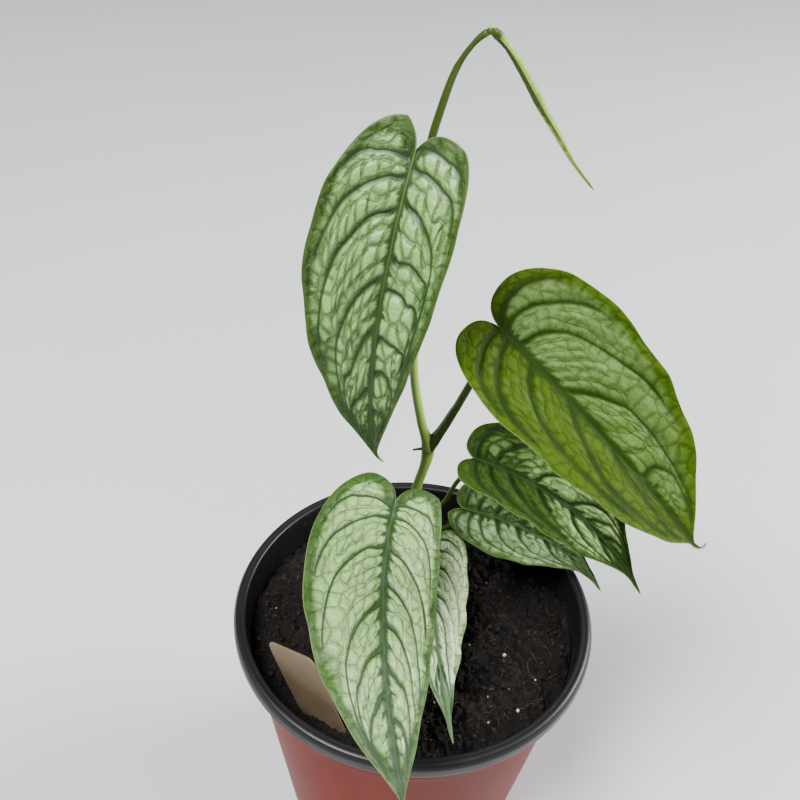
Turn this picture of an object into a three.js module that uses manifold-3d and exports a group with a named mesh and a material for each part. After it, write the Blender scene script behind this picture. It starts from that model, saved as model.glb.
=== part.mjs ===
// A young climbing aroid in a round nursery pot: six open leaves and one still rolled.
// Millimetres, +Z up, +Y to the back. The origin is the middle of the pot's flat foot.
import * as THREE from 'three';
import { mergeVertices } from 'three/addons/utils/BufferGeometryUtils.js';
import Module from 'manifold-3d';

const wasm = await Module();
wasm.setup();

// Pot, a thin-walled 12 cm pot with a rolled rim
const RIM_RADIUS = 60;
const RIM_HEIGHT = 100;
const RIM_SKIRT = 5.4;
const WALL = 1;
const FOOT_RADIUS = 43;
const FOOT_RECESS = 2;
const FLOOR_TOP = 3.2;
const LEDGE_HEIGHT = 86;
const ROUND_SIDES = 40;
const DRAIN_HOLES = 6;
const DRAIN_RADIUS = 4;
const DRAIN_CIRCLE = 26;

// Inner face of the wall as [height, radius], with its stacking ledge
const INNER_WALL = [
  [FLOOR_TOP, FOOT_RADIUS - WALL - 1], [FLOOR_TOP + 1, FOOT_RADIUS - WALL], [LEDGE_HEIGHT - 1.4, 53.2],
  [LEDGE_HEIGHT + 0.6, 54.7], [RIM_HEIGHT - RIM_SKIRT, 55.3],
];

// Soil
const SOIL_HEIGHT = 89;
const SOIL_EDGE = 53;
const SOIL_LUMP = 1.1;
const SOIL_CLEARANCE = 0.6;
const CLEARANCE = 0.3;

// Leaves
const BLADE_THICKNESS = 0.8;
const KEEL_DEPTH = 0.9;
const TIP_HALF_WIDTH = 0.8;
const BLADE_ROWS = 20;
const DRIP_ROWS = 3;
const COLUMNS = [0, 0.07, 0.3, 0.55, 0.79, 1];
const PANELS = 6;
const PANEL_SWELL = 0.8;
const EDGE_WAVE = 0.7;
const EDGE_WAVES = 5;
const PETIOLE_SIDES = 8;
const STEM_SIDES = 10;

// Each blade runs from its sinus, where the petiole joins, to its drip tip. Heading, pitch and
// roll are degrees at the sinus; droop, sway and twist are what they change by along the blade.
// Fullness, taper and tip width shape the outline between its widest place and the tip.
const LEAVES = [
  {
    number: 1, colour: 0x9fb890, sinus: [-8.7, 9.4, 257.7], heading: -117, pitch: -62, roll: 8,
    droop: 30, tipDroop: 12, sway: -4.5, twist: 4, length: 90.5, drip: 4.5, dripTurn: -86, dripLift: 17,
    right: { width: 21.3, widestAt: 28.3, lobe: 7.3, lobeAt: 3.8 },
    left: { width: 16.3, widestAt: 12.7, lobe: 3.2, lobeAt: 11.6 },
    fullness: 0.5, taper: 0.15, tipWidth: 0.15, fold: 0.19, camber: 0.03, wavePhase: 0.4,
  },
  {
    number: 2, colour: 0x84a052, sinus: [17.8, 16.3, 203.1], heading: -41.5, pitch: -22, roll: -24.5,
    droop: 19, tipDroop: 2, sway: 17.5, twist: 16, length: 82, drip: 5.5, dripTurn: 48, dripLift: 150,
    right: { width: 22.6, widestAt: 22.7, lobe: 5.1, lobeAt: 8.8 },
    left: { width: 25.7, widestAt: 16.8, lobe: 8.9, lobeAt: 9.8 },
    fullness: 0.82, taper: 0.12, tipWidth: 0.21, fold: 0.26, camber: -0.09, wavePhase: 1.3,
  },
  {
    number: 3, colour: 0x6f8f58, sinus: [16, 19.8, 149.4], heading: -6.5, pitch: -13, roll: -12.5,
    droop: 25, tipDroop: 8.5, sway: -28.5, twist: -6, length: 67.5, drip: 5, dripTurn: 2.5, dripLift: -1,
    right: { width: 14.8, widestAt: 21.5, lobe: 3.9, lobeAt: 10.2 },
    left: { width: 17.6, widestAt: 20.2, lobe: 2.6, lobeAt: 7.8 },
    fullness: 0.67, taper: 0.28, tipWidth: 0.1, fold: 0.21, camber: 0.05, wavePhase: 2.2,
  },
  {
    number: 4, colour: 0xa8c09a, sinus: [-8.3, 0.3, 147.5], heading: -98, pitch: -2, roll: 13,
    droop: 17.5, tipDroop: 7, sway: 24.5, twist: 5.5, length: 88.5, drip: 3, dripTurn: 3, dripLift: -2,
    right: { width: 22.6, widestAt: 23.2, lobe: 8.5, lobeAt: 8.3 },
    left: { width: 16.7, widestAt: 24.5, lobe: 7.2, lobeAt: 12.7 },
    fullness: 0.57, taper: 0.16, tipWidth: 0.27, fold: 0.1, camber: 0.24, wavePhase: 3.1,
  },
  {
    number: 5, colour: 0x7f9c66, sinus: [15, 22.6, 123.7], heading: -4.5, pitch: -9.5, roll: -22,
    droop: 29.5, tipDroop: 16, sway: -3, twist: -3.5, length: 58.5, drip: 4, dripTurn: 3.5, dripLift: -2.5,
    right: { width: 13.6, widestAt: 13.5, lobe: 5.1, lobeAt: 3 },
    left: { width: 13.8, widestAt: 19.1, lobe: 2.6, lobeAt: 6.1 },
    fullness: 0.45, taper: 0.37, tipWidth: 0.06, fold: 0.18, camber: 0.12, wavePhase: 0.9,
  },
  {
    number: 6, colour: 0x9db48c, sinus: [6.3, 12.4, 119.9], heading: -95.5, pitch: -9.5, roll: 22.5,
    droop: 15, tipDroop: 5, sway: 22.5, twist: 3.5, length: 62.5, drip: 5, dripTurn: 0, dripLift: 0,
    right: { width: 12.9, widestAt: 15, lobe: 6.2, lobeAt: 5.9 },
    left: { width: 12.4, widestAt: 15.5, lobe: 3.5, lobeAt: 7.8 },
    fullness: 0.5, taper: 0.23, tipWidth: 0.1, fold: 0.14, camber: 0.14, wavePhase: 2.7,
  },
];

// The vine, from its foot in the soil to the top node
const STEM_ROUTE = [
  [-5.4, 31, 62], [-5, 30, 89], [-3.3, 28.3, 110], [-1.5, 26.1, 128], [1.2, 22.4, 150],
  [-1.8, 21.6, 162.6], [-5.2, 20.5, 183], [-5.8, 20.2, 210],
];
const STEM_RADII = [
  [0, 1.8], [0.3, 1.7], [0.42, 1.6], [0.56, 1.65], [0.6, 2.3], [0.64, 1.5], [0.8, 1.35], [0.95, 1.35], [1, 1.9],
];
const STEM_STEPS = 34;
const ROOT_NUB = [[0.6, 22.5, 150], [-1.6, 22.3, 149.8], [-3.9, 22.1, 149.4]];

// Petioles: where each leaves the vine's middle line, how far out the vine's shoulder reaches
// along it, and the points it bends through
const PETIOLES = [
  {
    number: 1, from: [-5.8, 20.2, 204.5], shoulder: 6.4, through: [[-9.6, 18.2, 210.5], [-10, 17, 235]],
    radius: 1.2,
  },
  {
    number: 2, from: [1.5, 22.2, 150.8], shoulder: 5.4, through: [[5.8, 20.8, 161.5], [11.2, 19.4, 177.5]],
    radius: 1.3,
  },
  {
    number: 3, from: [-2.9, 27.8, 114], shoulder: 3.4, through: [[6.9, 25, 121.6], [11.6, 22.4, 136]],
    radius: 0.85,
  },
  {
    number: 4, from: [-3.5, 28.5, 107], shoulder: 4.7, through: [[-6.4, 20, 117], [-8.6, 7.4, 138]],
    radius: 1.1,
  },
  {
    number: 5, from: [-4.2, 29.1, 100], shoulder: 3.2, through: [[5, 28.4, 105], [12.4, 25.2, 113.5]],
    radius: 0.85,
  },
  {
    number: 6, from: [-4.7, 29.6, 94], shoulder: 3, through: [[1, 23, 96.5], [5.6, 15.4, 107.5]],
    radius: 0.8,
  },
];
const SHOULDER_FLARE = 1.4;
const PETIOLE_STEPS = 13;

// The newest leaf: a sheathed petiole bent over at its top, with the rolled blade hanging from it
const NEW_PETIOLE_ROUTE = [
  [-5.7, 20.3, 210.3], [-4.6, 20.8, 226], [-5.4, 19.4, 244], [-5.8, 18.4, 256.6], [-2.7, 19, 266.8],
  [0.1, 19.7, 276.2], [3.9, 20, 281.2], [5.9, 20, 283],
];
const NEW_PETIOLE_RADII = [
  [0, 1.3], [0.25, 1.1], [0.6, 1.08], [0.84, 1], [0.87, 1.02], [0.89, 0.68], [0.97, 0.66], [1, 0.85],
];
const NEW_LEAF_ROUTE = [
  [6.6, 20, 284.4], [8.6, 20, 282.9], [12.4, 20.9, 278.9], [17.2, 21.8, 272.1], [21.6, 22.8, 265.2],
  [26.5, 23.7, 258.2], [32.1, 24.6, 250.2], [39, 26, 242.1],
];
const NEW_LEAF_RADII = [
  [0, 0.8], [0.06, 1.25], [0.14, 1.2], [0.4, 1.3], [0.55, 1.05], [0.7, 0.8], [0.82, 0.5], [1, 0.33],
];
const ROLL_TURNS = 1.6;
const ROLL_STEP = 0.22;

// Label: a plain stick label leaning in the soil at the front left
const LABEL_WIDTH = 20;
const LABEL_LENGTH = 60;
const LABEL_THICKNESS = 0.8;
const LABEL_CORNER = 3;
const LABEL_POINT = 12;
const LABEL_TOP_LEFT = new THREE.Vector3(-44.7, -28.8, 114);
const LABEL_ACROSS = new THREE.Vector3(0.764, -0.553, 0.335).normalize();
const LABEL_DOWN = new THREE.Vector3(0.327, -0.114, -0.938).normalize();

const COLOURS = {
  pot: 0x8a4436, soil: 0x2a211d, label: 0xcdbfae, stem: 0x86a35c, petiole: 0x7f9f55, newLeaf: 0xa9c07c,
};

const radians = THREE.MathUtils.degToRad;
const vector = (p) => new THREE.Vector3(...p);

// A value between stops [place, value], places running from 0 to 1
function between(stops, t) {
  let i = 1;
  while (i < stops.length - 1 && stops[i][0] < t) i += 1;
  const [t0, a] = stops[i - 1];
  const [t1, b] = stops[i];
  const s = THREE.MathUtils.clamp((t - t0) / (t1 - t0), 0, 1);
  return a + (b - a) * s;
}

function geometryFrom(vertices, triangles) {
  const geometry = new THREE.BufferGeometry();
  geometry.setAttribute('position', new THREE.Float32BufferAttribute(vertices, 3));
  geometry.setIndex(triangles);
  geometry.computeVertexNormals();
  return geometry;
}

// A closed tube along a curve. Its section is a ring of sides points, at the radius that
// radiusAt gives for the place along the curve and the angle round it.
function tubeAlong(curve, radiusAt, sides, steps, turns = 0) {
  const frames = curve.computeFrenetFrames(steps, false);
  const vertices = [];
  const triangles = [];
  for (let i = 0; i <= steps; i += 1) {
    const t = i / steps;
    const centre = curve.getPointAt(t);
    for (let k = 0; k < sides; k += 1) {
      const angle = (2 * Math.PI * k) / sides;
      const turned = angle + 2 * Math.PI * turns * t;
      const radius = radiusAt(t, angle);
      const point = centre.clone()
        .addScaledVector(frames.normals[i], radius * Math.cos(turned))
        .addScaledVector(frames.binormals[i], radius * Math.sin(turned));
      vertices.push(...point.toArray());
    }
  }
  for (let i = 0; i < steps; i += 1) {
    for (let k = 0; k < sides; k += 1) {
      const a = i * sides + k;
      const b = i * sides + ((k + 1) % sides);
      triangles.push(a, b, b + sides, a, b + sides, a + sides);
    }
  }
  const first = vertices.length / 3;
  vertices.push(...curve.getPointAt(0).toArray(), ...curve.getPointAt(1).toArray());
  for (let k = 0; k < sides; k += 1) {
    const next = (k + 1) % sides;
    triangles.push(first, next, k, first + 1, steps * sides + k, steps * sides + next);
  }
  return geometryFrom(vertices, triangles);
}

const smoothCurve = (points) => new THREE.CatmullRomCurve3(points, false, 'centripetal');

function toSolid(geometry) {
  const bare = geometry.clone();
  bare.deleteAttribute('normal');
  bare.deleteAttribute('uv');
  const merged = mergeVertices(bare, 1e-4);
  const vertProperties = Float32Array.from(merged.getAttribute('position').array);
  const triVerts = Uint32Array.from(merged.index.array);
  return new wasm.Manifold(new wasm.Mesh({ numProp: 3, vertProperties, triVerts }));
}

function fromSolid(solid) {
  const mesh = solid.getMesh();
  return geometryFrom(Array.from(mesh.vertProperties), Array.from(mesh.triVerts));
}

// Pot: one profile turned round, with drainage holes cut through the recessed floor
function potGeometry() {
  const skirtBottom = RIM_HEIGHT - RIM_SKIRT;
  const outside = [
    [0, 0], [16, 0], [18, FOOT_RECESS], [34, FOOT_RECESS], [36, 0], [FOOT_RADIUS - 1.5, 0],
    [FOOT_RADIUS, 1.5], [54.2, LEDGE_HEIGHT - 2], [55.6, LEDGE_HEIGHT], [56.2, skirtBottom],
    [56.6, RIM_HEIGHT - 2], [58.6, RIM_HEIGHT - 1.8], [58.8, skirtBottom],
  ];
  const rim = [
    [RIM_RADIUS - 0.5, skirtBottom - 0.3], [RIM_RADIUS, skirtBottom + 0.6], [RIM_RADIUS, RIM_HEIGHT - 1.6],
    [RIM_RADIUS - 0.7, RIM_HEIGHT - 0.4], [RIM_RADIUS - 1.8, RIM_HEIGHT], [56.9, RIM_HEIGHT - 0.1],
    [56, RIM_HEIGHT - 0.9],
  ];
  const inside = [...INNER_WALL.map(([z, r]) => [r, z]).reverse(), [0, FLOOR_TOP]];
  const profile = [...outside, ...rim, ...inside].map(([r, z]) => new THREE.Vector2(r, z));
  const turned = new THREE.LatheGeometry(profile, ROUND_SIDES).rotateX(Math.PI / 2);
  let pot = toSolid(turned);
  for (let i = 0; i < DRAIN_HOLES; i += 1) {
    const angle = (2 * Math.PI * (i + 0.5)) / DRAIN_HOLES;
    const drill = new THREE.CylinderGeometry(DRAIN_RADIUS, DRAIN_RADIUS, 10, 10).rotateX(Math.PI / 2);
    drill.translate(DRAIN_CIRCLE * Math.cos(angle), DRAIN_CIRCLE * Math.sin(angle), 2);
    pot = pot.subtract(toSolid(drill));
  }
  return fromSolid(pot);
}

// Height of the soil: lumps, a mound at the vine, a hollow at the back right and one by the label
function soilHeight(x, y) {
  const dip = (px, py, depth, spread) => depth * Math.exp(-((x - px) ** 2 + (y - py) ** 2) / spread ** 2);
  const lumps = Math.sin(0.21 * x + 1.3) * Math.sin(0.24 * y + 0.4)
    + 0.6 * Math.sin(0.43 * x - 0.31 * y + 2.1) + 0.4 * Math.sin(0.52 * y + 0.37 * x);
  return SOIL_HEIGHT + SOIL_LUMP * lumps + dip(-5, 30, 1.6, 11) - dip(38, 14, 3, 13) - dip(-40, -36, 4.5, 13);
}

function soilGeometry(stemCurve) {
  const place = (radius, angle, z) => [radius * Math.cos(angle), radius * Math.sin(angle), z];
  const edge = (angle) => soilHeight(...place(SOIL_EDGE, angle, 0)) - 1;
  const byWall = (z) => between(INNER_WALL, z) - SOIL_CLEARANCE;
  const levels = [() => FLOOR_TOP + CLEARANCE + 0.1, (a) => Math.min(84.4, edge(a) - 0.6),
    (a) => Math.min(87, edge(a) - 0.3), edge];
  const rings = [
    ...levels.map((level) => (angle) => place(byWall(level(angle)), angle, level(angle))),
    ...[49, 42, 34, 25, 16, 8].map((r) => (angle) => {
      const [x, y] = place(r, angle, 0);
      return [x, y, soilHeight(x, y)];
    }),
  ];
  const vertices = [];
  const triangles = [];
  for (const ring of rings) {
    for (let k = 0; k < ROUND_SIDES; k += 1) vertices.push(...ring((2 * Math.PI * k) / ROUND_SIDES));
  }
  const bottom = vertices.length / 3;
  vertices.push(0, 0, levels[0](), 0, 0, soilHeight(0, 0));
  for (let k = 0; k < ROUND_SIDES; k += 1) {
    const next = (k + 1) % ROUND_SIDES;
    for (let i = 0; i < rings.length - 1; i += 1) {
      const a = i * ROUND_SIDES;
      triangles.push(a + k, a + next, a + ROUND_SIDES + next, a + k, a + ROUND_SIDES + next, a + ROUND_SIDES + k);
    }
    const last = (rings.length - 1) * ROUND_SIDES;
    triangles.push(bottom, next, k, bottom + 1, last + k, last + next);
  }
  const cutStem = tubeAlong(stemCurve, (t) => between(STEM_RADII, t) + CLEARANCE + 0.05, STEM_SIDES, STEM_STEPS);
  const cutFoot = new THREE.CylinderGeometry(2.1, 2.1, 1.4, STEM_SIDES).rotateX(Math.PI / 2);
  cutFoot.translate(...STEM_ROUTE[0]);
  const solid = toSolid(geometryFrom(vertices, triangles))
    .subtract(toSolid(cutStem))
    .subtract(toSolid(cutFoot))
    .subtract(toSolid(labelGeometry(CLEARANCE)));
  return fromSolid(solid);
}

// Label: a flat stick with rounded upper corners and a pointed foot, grown all round by extra
function labelGeometry(extra) {
  const w = LABEL_WIDTH + extra;
  const l = LABEL_LENGTH + extra;
  const shape = new THREE.Shape();
  shape.moveTo(LABEL_CORNER, extra);
  shape.absarc(w - LABEL_CORNER, extra - LABEL_CORNER, LABEL_CORNER, Math.PI / 2, 0, true);
  shape.lineTo(w, LABEL_POINT - l);
  shape.lineTo(w / 2 + 3, -l);
  shape.lineTo(w / 2 - 3, -l);
  shape.lineTo(-extra, LABEL_POINT - l);
  shape.absarc(LABEL_CORNER - extra, extra - LABEL_CORNER, LABEL_CORNER, Math.PI, Math.PI / 2, true);
  const depth = LABEL_THICKNESS + 2 * extra;
  const geometry = new THREE.ExtrudeGeometry(shape, { depth, bevelEnabled: false, curveSegments: 4 });
  geometry.translate(0, 0, -depth / 2);
  const up = LABEL_DOWN.clone().negate();
  const out = LABEL_ACROSS.clone().cross(up);
  const basis = new THREE.Matrix4().makeBasis(LABEL_ACROSS, up, out).setPosition(LABEL_TOP_LEFT);
  return geometry.applyMatrix4(basis);
}

// The point and direction in which a petiole leaves the vine
function petioleBase(petiole) {
  const from = vector(petiole.from);
  return { from, out: vector(petiole.through[0]).sub(from).normalize() };
}

// Vine: a tube that swells at its nodes, with a shoulder for each petiole and one short dead root
function stemGeometry(curve) {
  const body = tubeAlong(curve, (t) => between(STEM_RADII, t), STEM_SIDES, STEM_STEPS);
  const nub = tubeAlong(smoothCurve(ROOT_NUB.map(vector)), (t) => 0.55 - 0.2 * t, 6, 4);
  let stem = toSolid(body).add(toSolid(nub));
  for (const petiole of PETIOLES) {
    const { from, out } = petioleBase(petiole);
    const reach = from.clone().addScaledVector(out, petiole.shoulder);
    const shoulder = tubeAlong(new THREE.LineCurve3(from, reach), () => SHOULDER_FLARE * petiole.radius, 8, 1);
    stem = stem.add(toSolid(shoulder));
  }
  return fromSolid(stem);
}

// Directions of a blade where its midrib has run y from the sinus: along it, across it to the
// right, and up out of its face. Past the blade's length the drip tip turns and lifts.
function bladeFrame(leaf, y) {
  const q = THREE.MathUtils.clamp(y / leaf.length, 0, 1);
  const pitch = radians(leaf.pitch - leaf.droop * q - leaf.tipDroop * q * q);
  const heading = radians(leaf.heading + leaf.sway * q);
  const roll = radians(leaf.roll + leaf.twist * q);
  const along = new THREE.Vector3(
    Math.cos(pitch) * Math.cos(heading),
    Math.cos(pitch) * Math.sin(heading),
    Math.sin(pitch),
  );
  const level = new THREE.Vector3(Math.sin(heading), -Math.cos(heading), 0);
  const up = level.clone().cross(along);
  const across = level.clone().multiplyScalar(Math.cos(roll)).addScaledVector(up, Math.sin(roll));
  const face = up.clone().multiplyScalar(Math.cos(roll)).addScaledVector(level, -Math.sin(roll));
  const d = THREE.MathUtils.clamp((y - leaf.length) / leaf.drip, 0, 1);
  const turn = radians(leaf.dripTurn * d);
  const lift = radians(leaf.dripLift * d);
  const onward = along.clone().multiplyScalar(Math.cos(turn)).addScaledVector(across, Math.sin(turn));
  const sideways = across.clone().multiplyScalar(Math.cos(turn)).addScaledVector(along, -Math.sin(turn));
  return {
    along: onward.clone().multiplyScalar(Math.cos(lift)).addScaledVector(face, Math.sin(lift)),
    across: sideways,
    face: face.clone().multiplyScalar(Math.cos(lift)).addScaledVector(onward, -Math.sin(lift)),
  };
}

// The midrib's middle line, summed in short steps from the sinus in both directions
function midribLine(leaf) {
  const STEP = 0.5;
  const back = Math.ceil(Math.max(leaf.right.lobe, leaf.left.lobe) / STEP) + 2;
  const ahead = Math.ceil((leaf.length + leaf.drip) / STEP) + 2;
  const points = new Map([[0, vector(leaf.sinus)]]);
  for (let i = 0; i < ahead; i += 1) {
    const step = bladeFrame(leaf, (i + 0.5) * STEP).along.multiplyScalar(STEP);
    points.set(i + 1, points.get(i).clone().add(step));
  }
  for (let i = 0; i > -back; i -= 1) {
    const step = bladeFrame(leaf, (i - 0.5) * STEP).along.multiplyScalar(STEP);
    points.set(i - 1, points.get(i).clone().sub(step));
  }
  return (y) => {
    const i = Math.floor(y / STEP);
    return points.get(i).clone().lerp(points.get(i + 1), y / STEP - i);
  };
}

// Outline of one half blade from the back of its lobe to the start of the drip tip
function halfOutline(leaf, side) {
  const { width, widestAt, lobe, lobeAt } = side;
  const rest = leaf.length - widestAt;
  const outline = new THREE.CurvePath();
  outline.add(new THREE.CubicBezierCurve(
    new THREE.Vector2(lobeAt, -lobe),
    new THREE.Vector2(lobeAt + 0.55 * (width - lobeAt), -lobe),
    new THREE.Vector2(width, widestAt - 0.5 * (widestAt + lobe)),
    new THREE.Vector2(width, widestAt),
  ));
  outline.add(new THREE.CubicBezierCurve(
    new THREE.Vector2(width, widestAt),
    new THREE.Vector2(width, widestAt + leaf.fullness * rest),
    new THREE.Vector2(TIP_HALF_WIDTH + leaf.tipWidth * width, leaf.length - leaf.taper * rest),
    new THREE.Vector2(TIP_HALF_WIDTH, leaf.length),
  ));
  return outline;
}

// Flat place of the blade at u along the outline and v from the midrib to the edge. Each line
// of one u leaves the midrib nearly square to it and bends forward, as the side veins do.
function flatPlace(leaf, side, outline, u, v) {
  const edge = outline.getPoint(Math.min(u, 1));
  const rootY = leaf.length * (0.15 * u + 0.85 * u ** 2.3);
  const chordX = edge.x;
  const chordY = edge.y - rootY;
  const atLobe = Math.min(0.2 * side.lobeAt / side.lobe, 0.25);
  const bulge = 4 * v * (1 - v) * THREE.MathUtils.lerp(0.08, atLobe, Math.exp(-9 * u));
  return [v * chordX + bulge * chordY, rootY + v * chordY - bulge * chordX];
}

// How far the blade stands off its midrib's plane: the fold, the camber, the swell of the
// panels between the side veins and the waves of the edge
function bladeRise(leaf, side, x, u, v) {
  const halfWidth = (leaf.right.width + leaf.left.width) / 2;
  const phase = leaf.wavePhase + (side === leaf.left ? 1.9 : 0);
  const ends = Math.sin(Math.PI * Math.min(u, 1)) ** 0.7;
  const swell = Math.sin(Math.PI * PANELS * (u - 0.1 * v ** 3)) ** 2 * Math.sqrt(4 * v * (1 - v));
  const wave = v ** 3 * Math.sin(2 * Math.PI * EDGE_WAVES * u + phase);
  return leaf.fold * x - (leaf.camber * x * x) / halfWidth
    + ends * (PANEL_SWELL * swell + EDGE_WAVE * wave);
}

// Blade: the same grid of points on the upper and the lower face, joined round the edge
function bladeGeometry(leaf) {
  const line = midribLine(leaf);
  const halves = [leaf.left, leaf.right].map((side) => ({ side, outline: halfOutline(leaf, side) }));
  const n = COLUMNS.length - 1;
  const rows = BLADE_ROWS + DRIP_ROWS;
  const upper = [];
  const lower = [];
  for (let i = 0; i < rows; i += 1) {
    const u = i / BLADE_ROWS;
    for (let j = -n; j <= n; j += 1) {
      const sign = j < 0 ? -1 : 1;
      const { side, outline } = halves[j < 0 ? 0 : 1];
      const v = COLUMNS[Math.abs(j)];
      const drip = Math.max(0, (i - BLADE_ROWS) / DRIP_ROWS);
      const [x, y] = drip > 0
        ? [v * TIP_HALF_WIDTH * (1 - drip), leaf.length + drip * leaf.drip]
        : flatPlace(leaf, side, outline, u, v);
      const rise = drip > 0 ? 0 : bladeRise(leaf, side, x, u, v);
      const frame = bladeFrame(leaf, y);
      const middle = line(y).addScaledVector(frame.across, sign * x).addScaledVector(frame.face, rise);
      const keel = j === 0 ? KEEL_DEPTH * Math.min(1, 5 * u) * Math.max(0, 1 - 0.9 * u) : 0;
      upper.push(middle.clone().addScaledVector(frame.face, BLADE_THICKNESS / 2));
      lower.push(middle.clone().addScaledVector(frame.face, -BLADE_THICKNESS / 2 - keel));
    }
  }
  const end = leaf.length + leaf.drip;
  const endFrame = bladeFrame(leaf, end);
  upper.push(line(end).addScaledVector(endFrame.face, BLADE_THICKNESS / 2));
  lower.push(line(end).addScaledVector(endFrame.face, -BLADE_THICKNESS / 2));
  const across = 2 * n + 1;
  const tip = rows * across;
  const at = (i, j) => (i === rows ? tip : i * across + j + n);
  const below = tip + 1;
  const triangles = [];
  const face = (a, b, c) => {
    if (a === b || b === c || a === c) return;
    triangles.push(a, b, c, below + a, below + c, below + b);
  };
  for (let i = 0; i < rows; i += 1) {
    for (let j = -n; j < n; j += 1) {
      face(at(i, j), at(i, j + 1), at(i + 1, j + 1));
      face(at(i, j), at(i + 1, j + 1), at(i + 1, j));
    }
  }
  const edge = [];
  for (let j = -n; j < n; j += 1) edge.push(at(0, j));
  for (let i = 0; i < rows; i += 1) edge.push(at(i, n));
  for (let i = rows; i > 0; i -= 1) edge.push(at(i, -n));
  edge.forEach((p, k) => {
    const q = edge[(k + 1) % edge.length];
    triangles.push(p, below + p, below + q, p, below + q, q);
  });
  const vertices = [...upper, ...lower].flatMap((p) => p.toArray());
  return geometryFrom(vertices, triangles);
}

// Petiole: starts at its shoulder on the vine, thickens at both ends, meets the blade's underside
function petioleGeometry(petiole, leaf) {
  const frame = bladeFrame(leaf, 0);
  const { from, out } = petioleBase(petiole);
  const start = from.clone().addScaledVector(out, petiole.shoulder + CLEARANCE);
  const end = midribLine(leaf)(1.2).addScaledVector(frame.face, -BLADE_THICKNESS / 2 - CLEARANCE - 0.25);
  const before = end.clone().addScaledVector(frame.face, -2.2).addScaledVector(frame.along, -0.3);
  const curve = smoothCurve([start, ...petiole.through.map(vector), before, end]);
  const radii = [[0, SHOULDER_FLARE], [0.15, 1.05], [0.3, 1], [0.82, 0.95], [0.93, 1.15], [1, 0.95]];
  return tubeAlong(curve, (t) => petiole.radius * between(radii, t), PETIOLE_SIDES, PETIOLE_STEPS);
}

// New leaf: the blade still rolled up, so its section is a spiral with one free edge
function newLeafGeometry() {
  const curve = smoothCurve(NEW_LEAF_ROUTE.map(vector));
  const radiusAt = (t, angle) => between(NEW_LEAF_RADII, t) * (1 + ROLL_STEP * (angle / (2 * Math.PI) - 0.5));
  return tubeAlong(curve, radiusAt, 12, 26, ROLL_TURNS);
}

const plant = new THREE.Group();

function addPiece(name, geometry, color, roughness) {
  const mesh = new THREE.Mesh(geometry, new THREE.MeshStandardMaterial({ color, roughness, metalness: 0 }));
  mesh.name = name;
  plant.add(mesh);
}

const stemCurve = smoothCurve(STEM_ROUTE.map(vector));
addPiece('pot', potGeometry(), COLOURS.pot, 0.5);
addPiece('soil', soilGeometry(stemCurve), COLOURS.soil, 1);
addPiece('plant_label', labelGeometry(0), COLOURS.label, 0.6);
addPiece('stem', stemGeometry(stemCurve), COLOURS.stem, 0.5);
for (const petiole of PETIOLES) {
  const geometry = petioleGeometry(petiole, LEAVES[petiole.number - 1]);
  addPiece(`petiole_${petiole.number}`, geometry, COLOURS.petiole, 0.5);
}
for (const leaf of LEAVES) addPiece(`leaf_${leaf.number}`, bladeGeometry(leaf), leaf.colour, 0.45);
const newPetioleCurve = smoothCurve(NEW_PETIOLE_ROUTE.map(vector));
const newPetiole = tubeAlong(newPetioleCurve, (t) => between(NEW_PETIOLE_RADII, t), PETIOLE_SIDES, 24);
addPiece('new_leaf_petiole', newPetiole, COLOURS.petiole, 0.5);
addPiece('new_leaf', newLeafGeometry(), COLOURS.newLeaf, 0.45);

export default plant;
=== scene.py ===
"""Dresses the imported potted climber: silvery leaves, a rolled new leaf, stalks, pot, soil and label.

Lengths are in millimetres in the row's frame, +Z up and +Y to the back, until piece() makes them metres.
"""
import math

import bpy
import numpy as np
from mathutils import Matrix


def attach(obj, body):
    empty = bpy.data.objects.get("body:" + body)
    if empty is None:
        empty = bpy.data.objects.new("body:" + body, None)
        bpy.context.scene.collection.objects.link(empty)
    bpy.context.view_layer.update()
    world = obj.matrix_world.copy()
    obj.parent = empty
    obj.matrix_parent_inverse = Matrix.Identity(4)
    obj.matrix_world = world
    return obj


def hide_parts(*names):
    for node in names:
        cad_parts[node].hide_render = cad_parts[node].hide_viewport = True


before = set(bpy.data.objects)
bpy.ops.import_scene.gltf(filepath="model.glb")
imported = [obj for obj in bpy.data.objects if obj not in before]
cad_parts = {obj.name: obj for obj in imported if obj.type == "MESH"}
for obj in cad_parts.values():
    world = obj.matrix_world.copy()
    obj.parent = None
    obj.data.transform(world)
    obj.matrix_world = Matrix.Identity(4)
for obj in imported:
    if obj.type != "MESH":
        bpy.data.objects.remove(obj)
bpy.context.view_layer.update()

MM = 0.001


def by_leaf(**columns):
    """One dictionary for each leaf, from columns of what each of them has."""
    return [dict(zip(columns, row)) for row in zip(*columns.values())]


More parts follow.
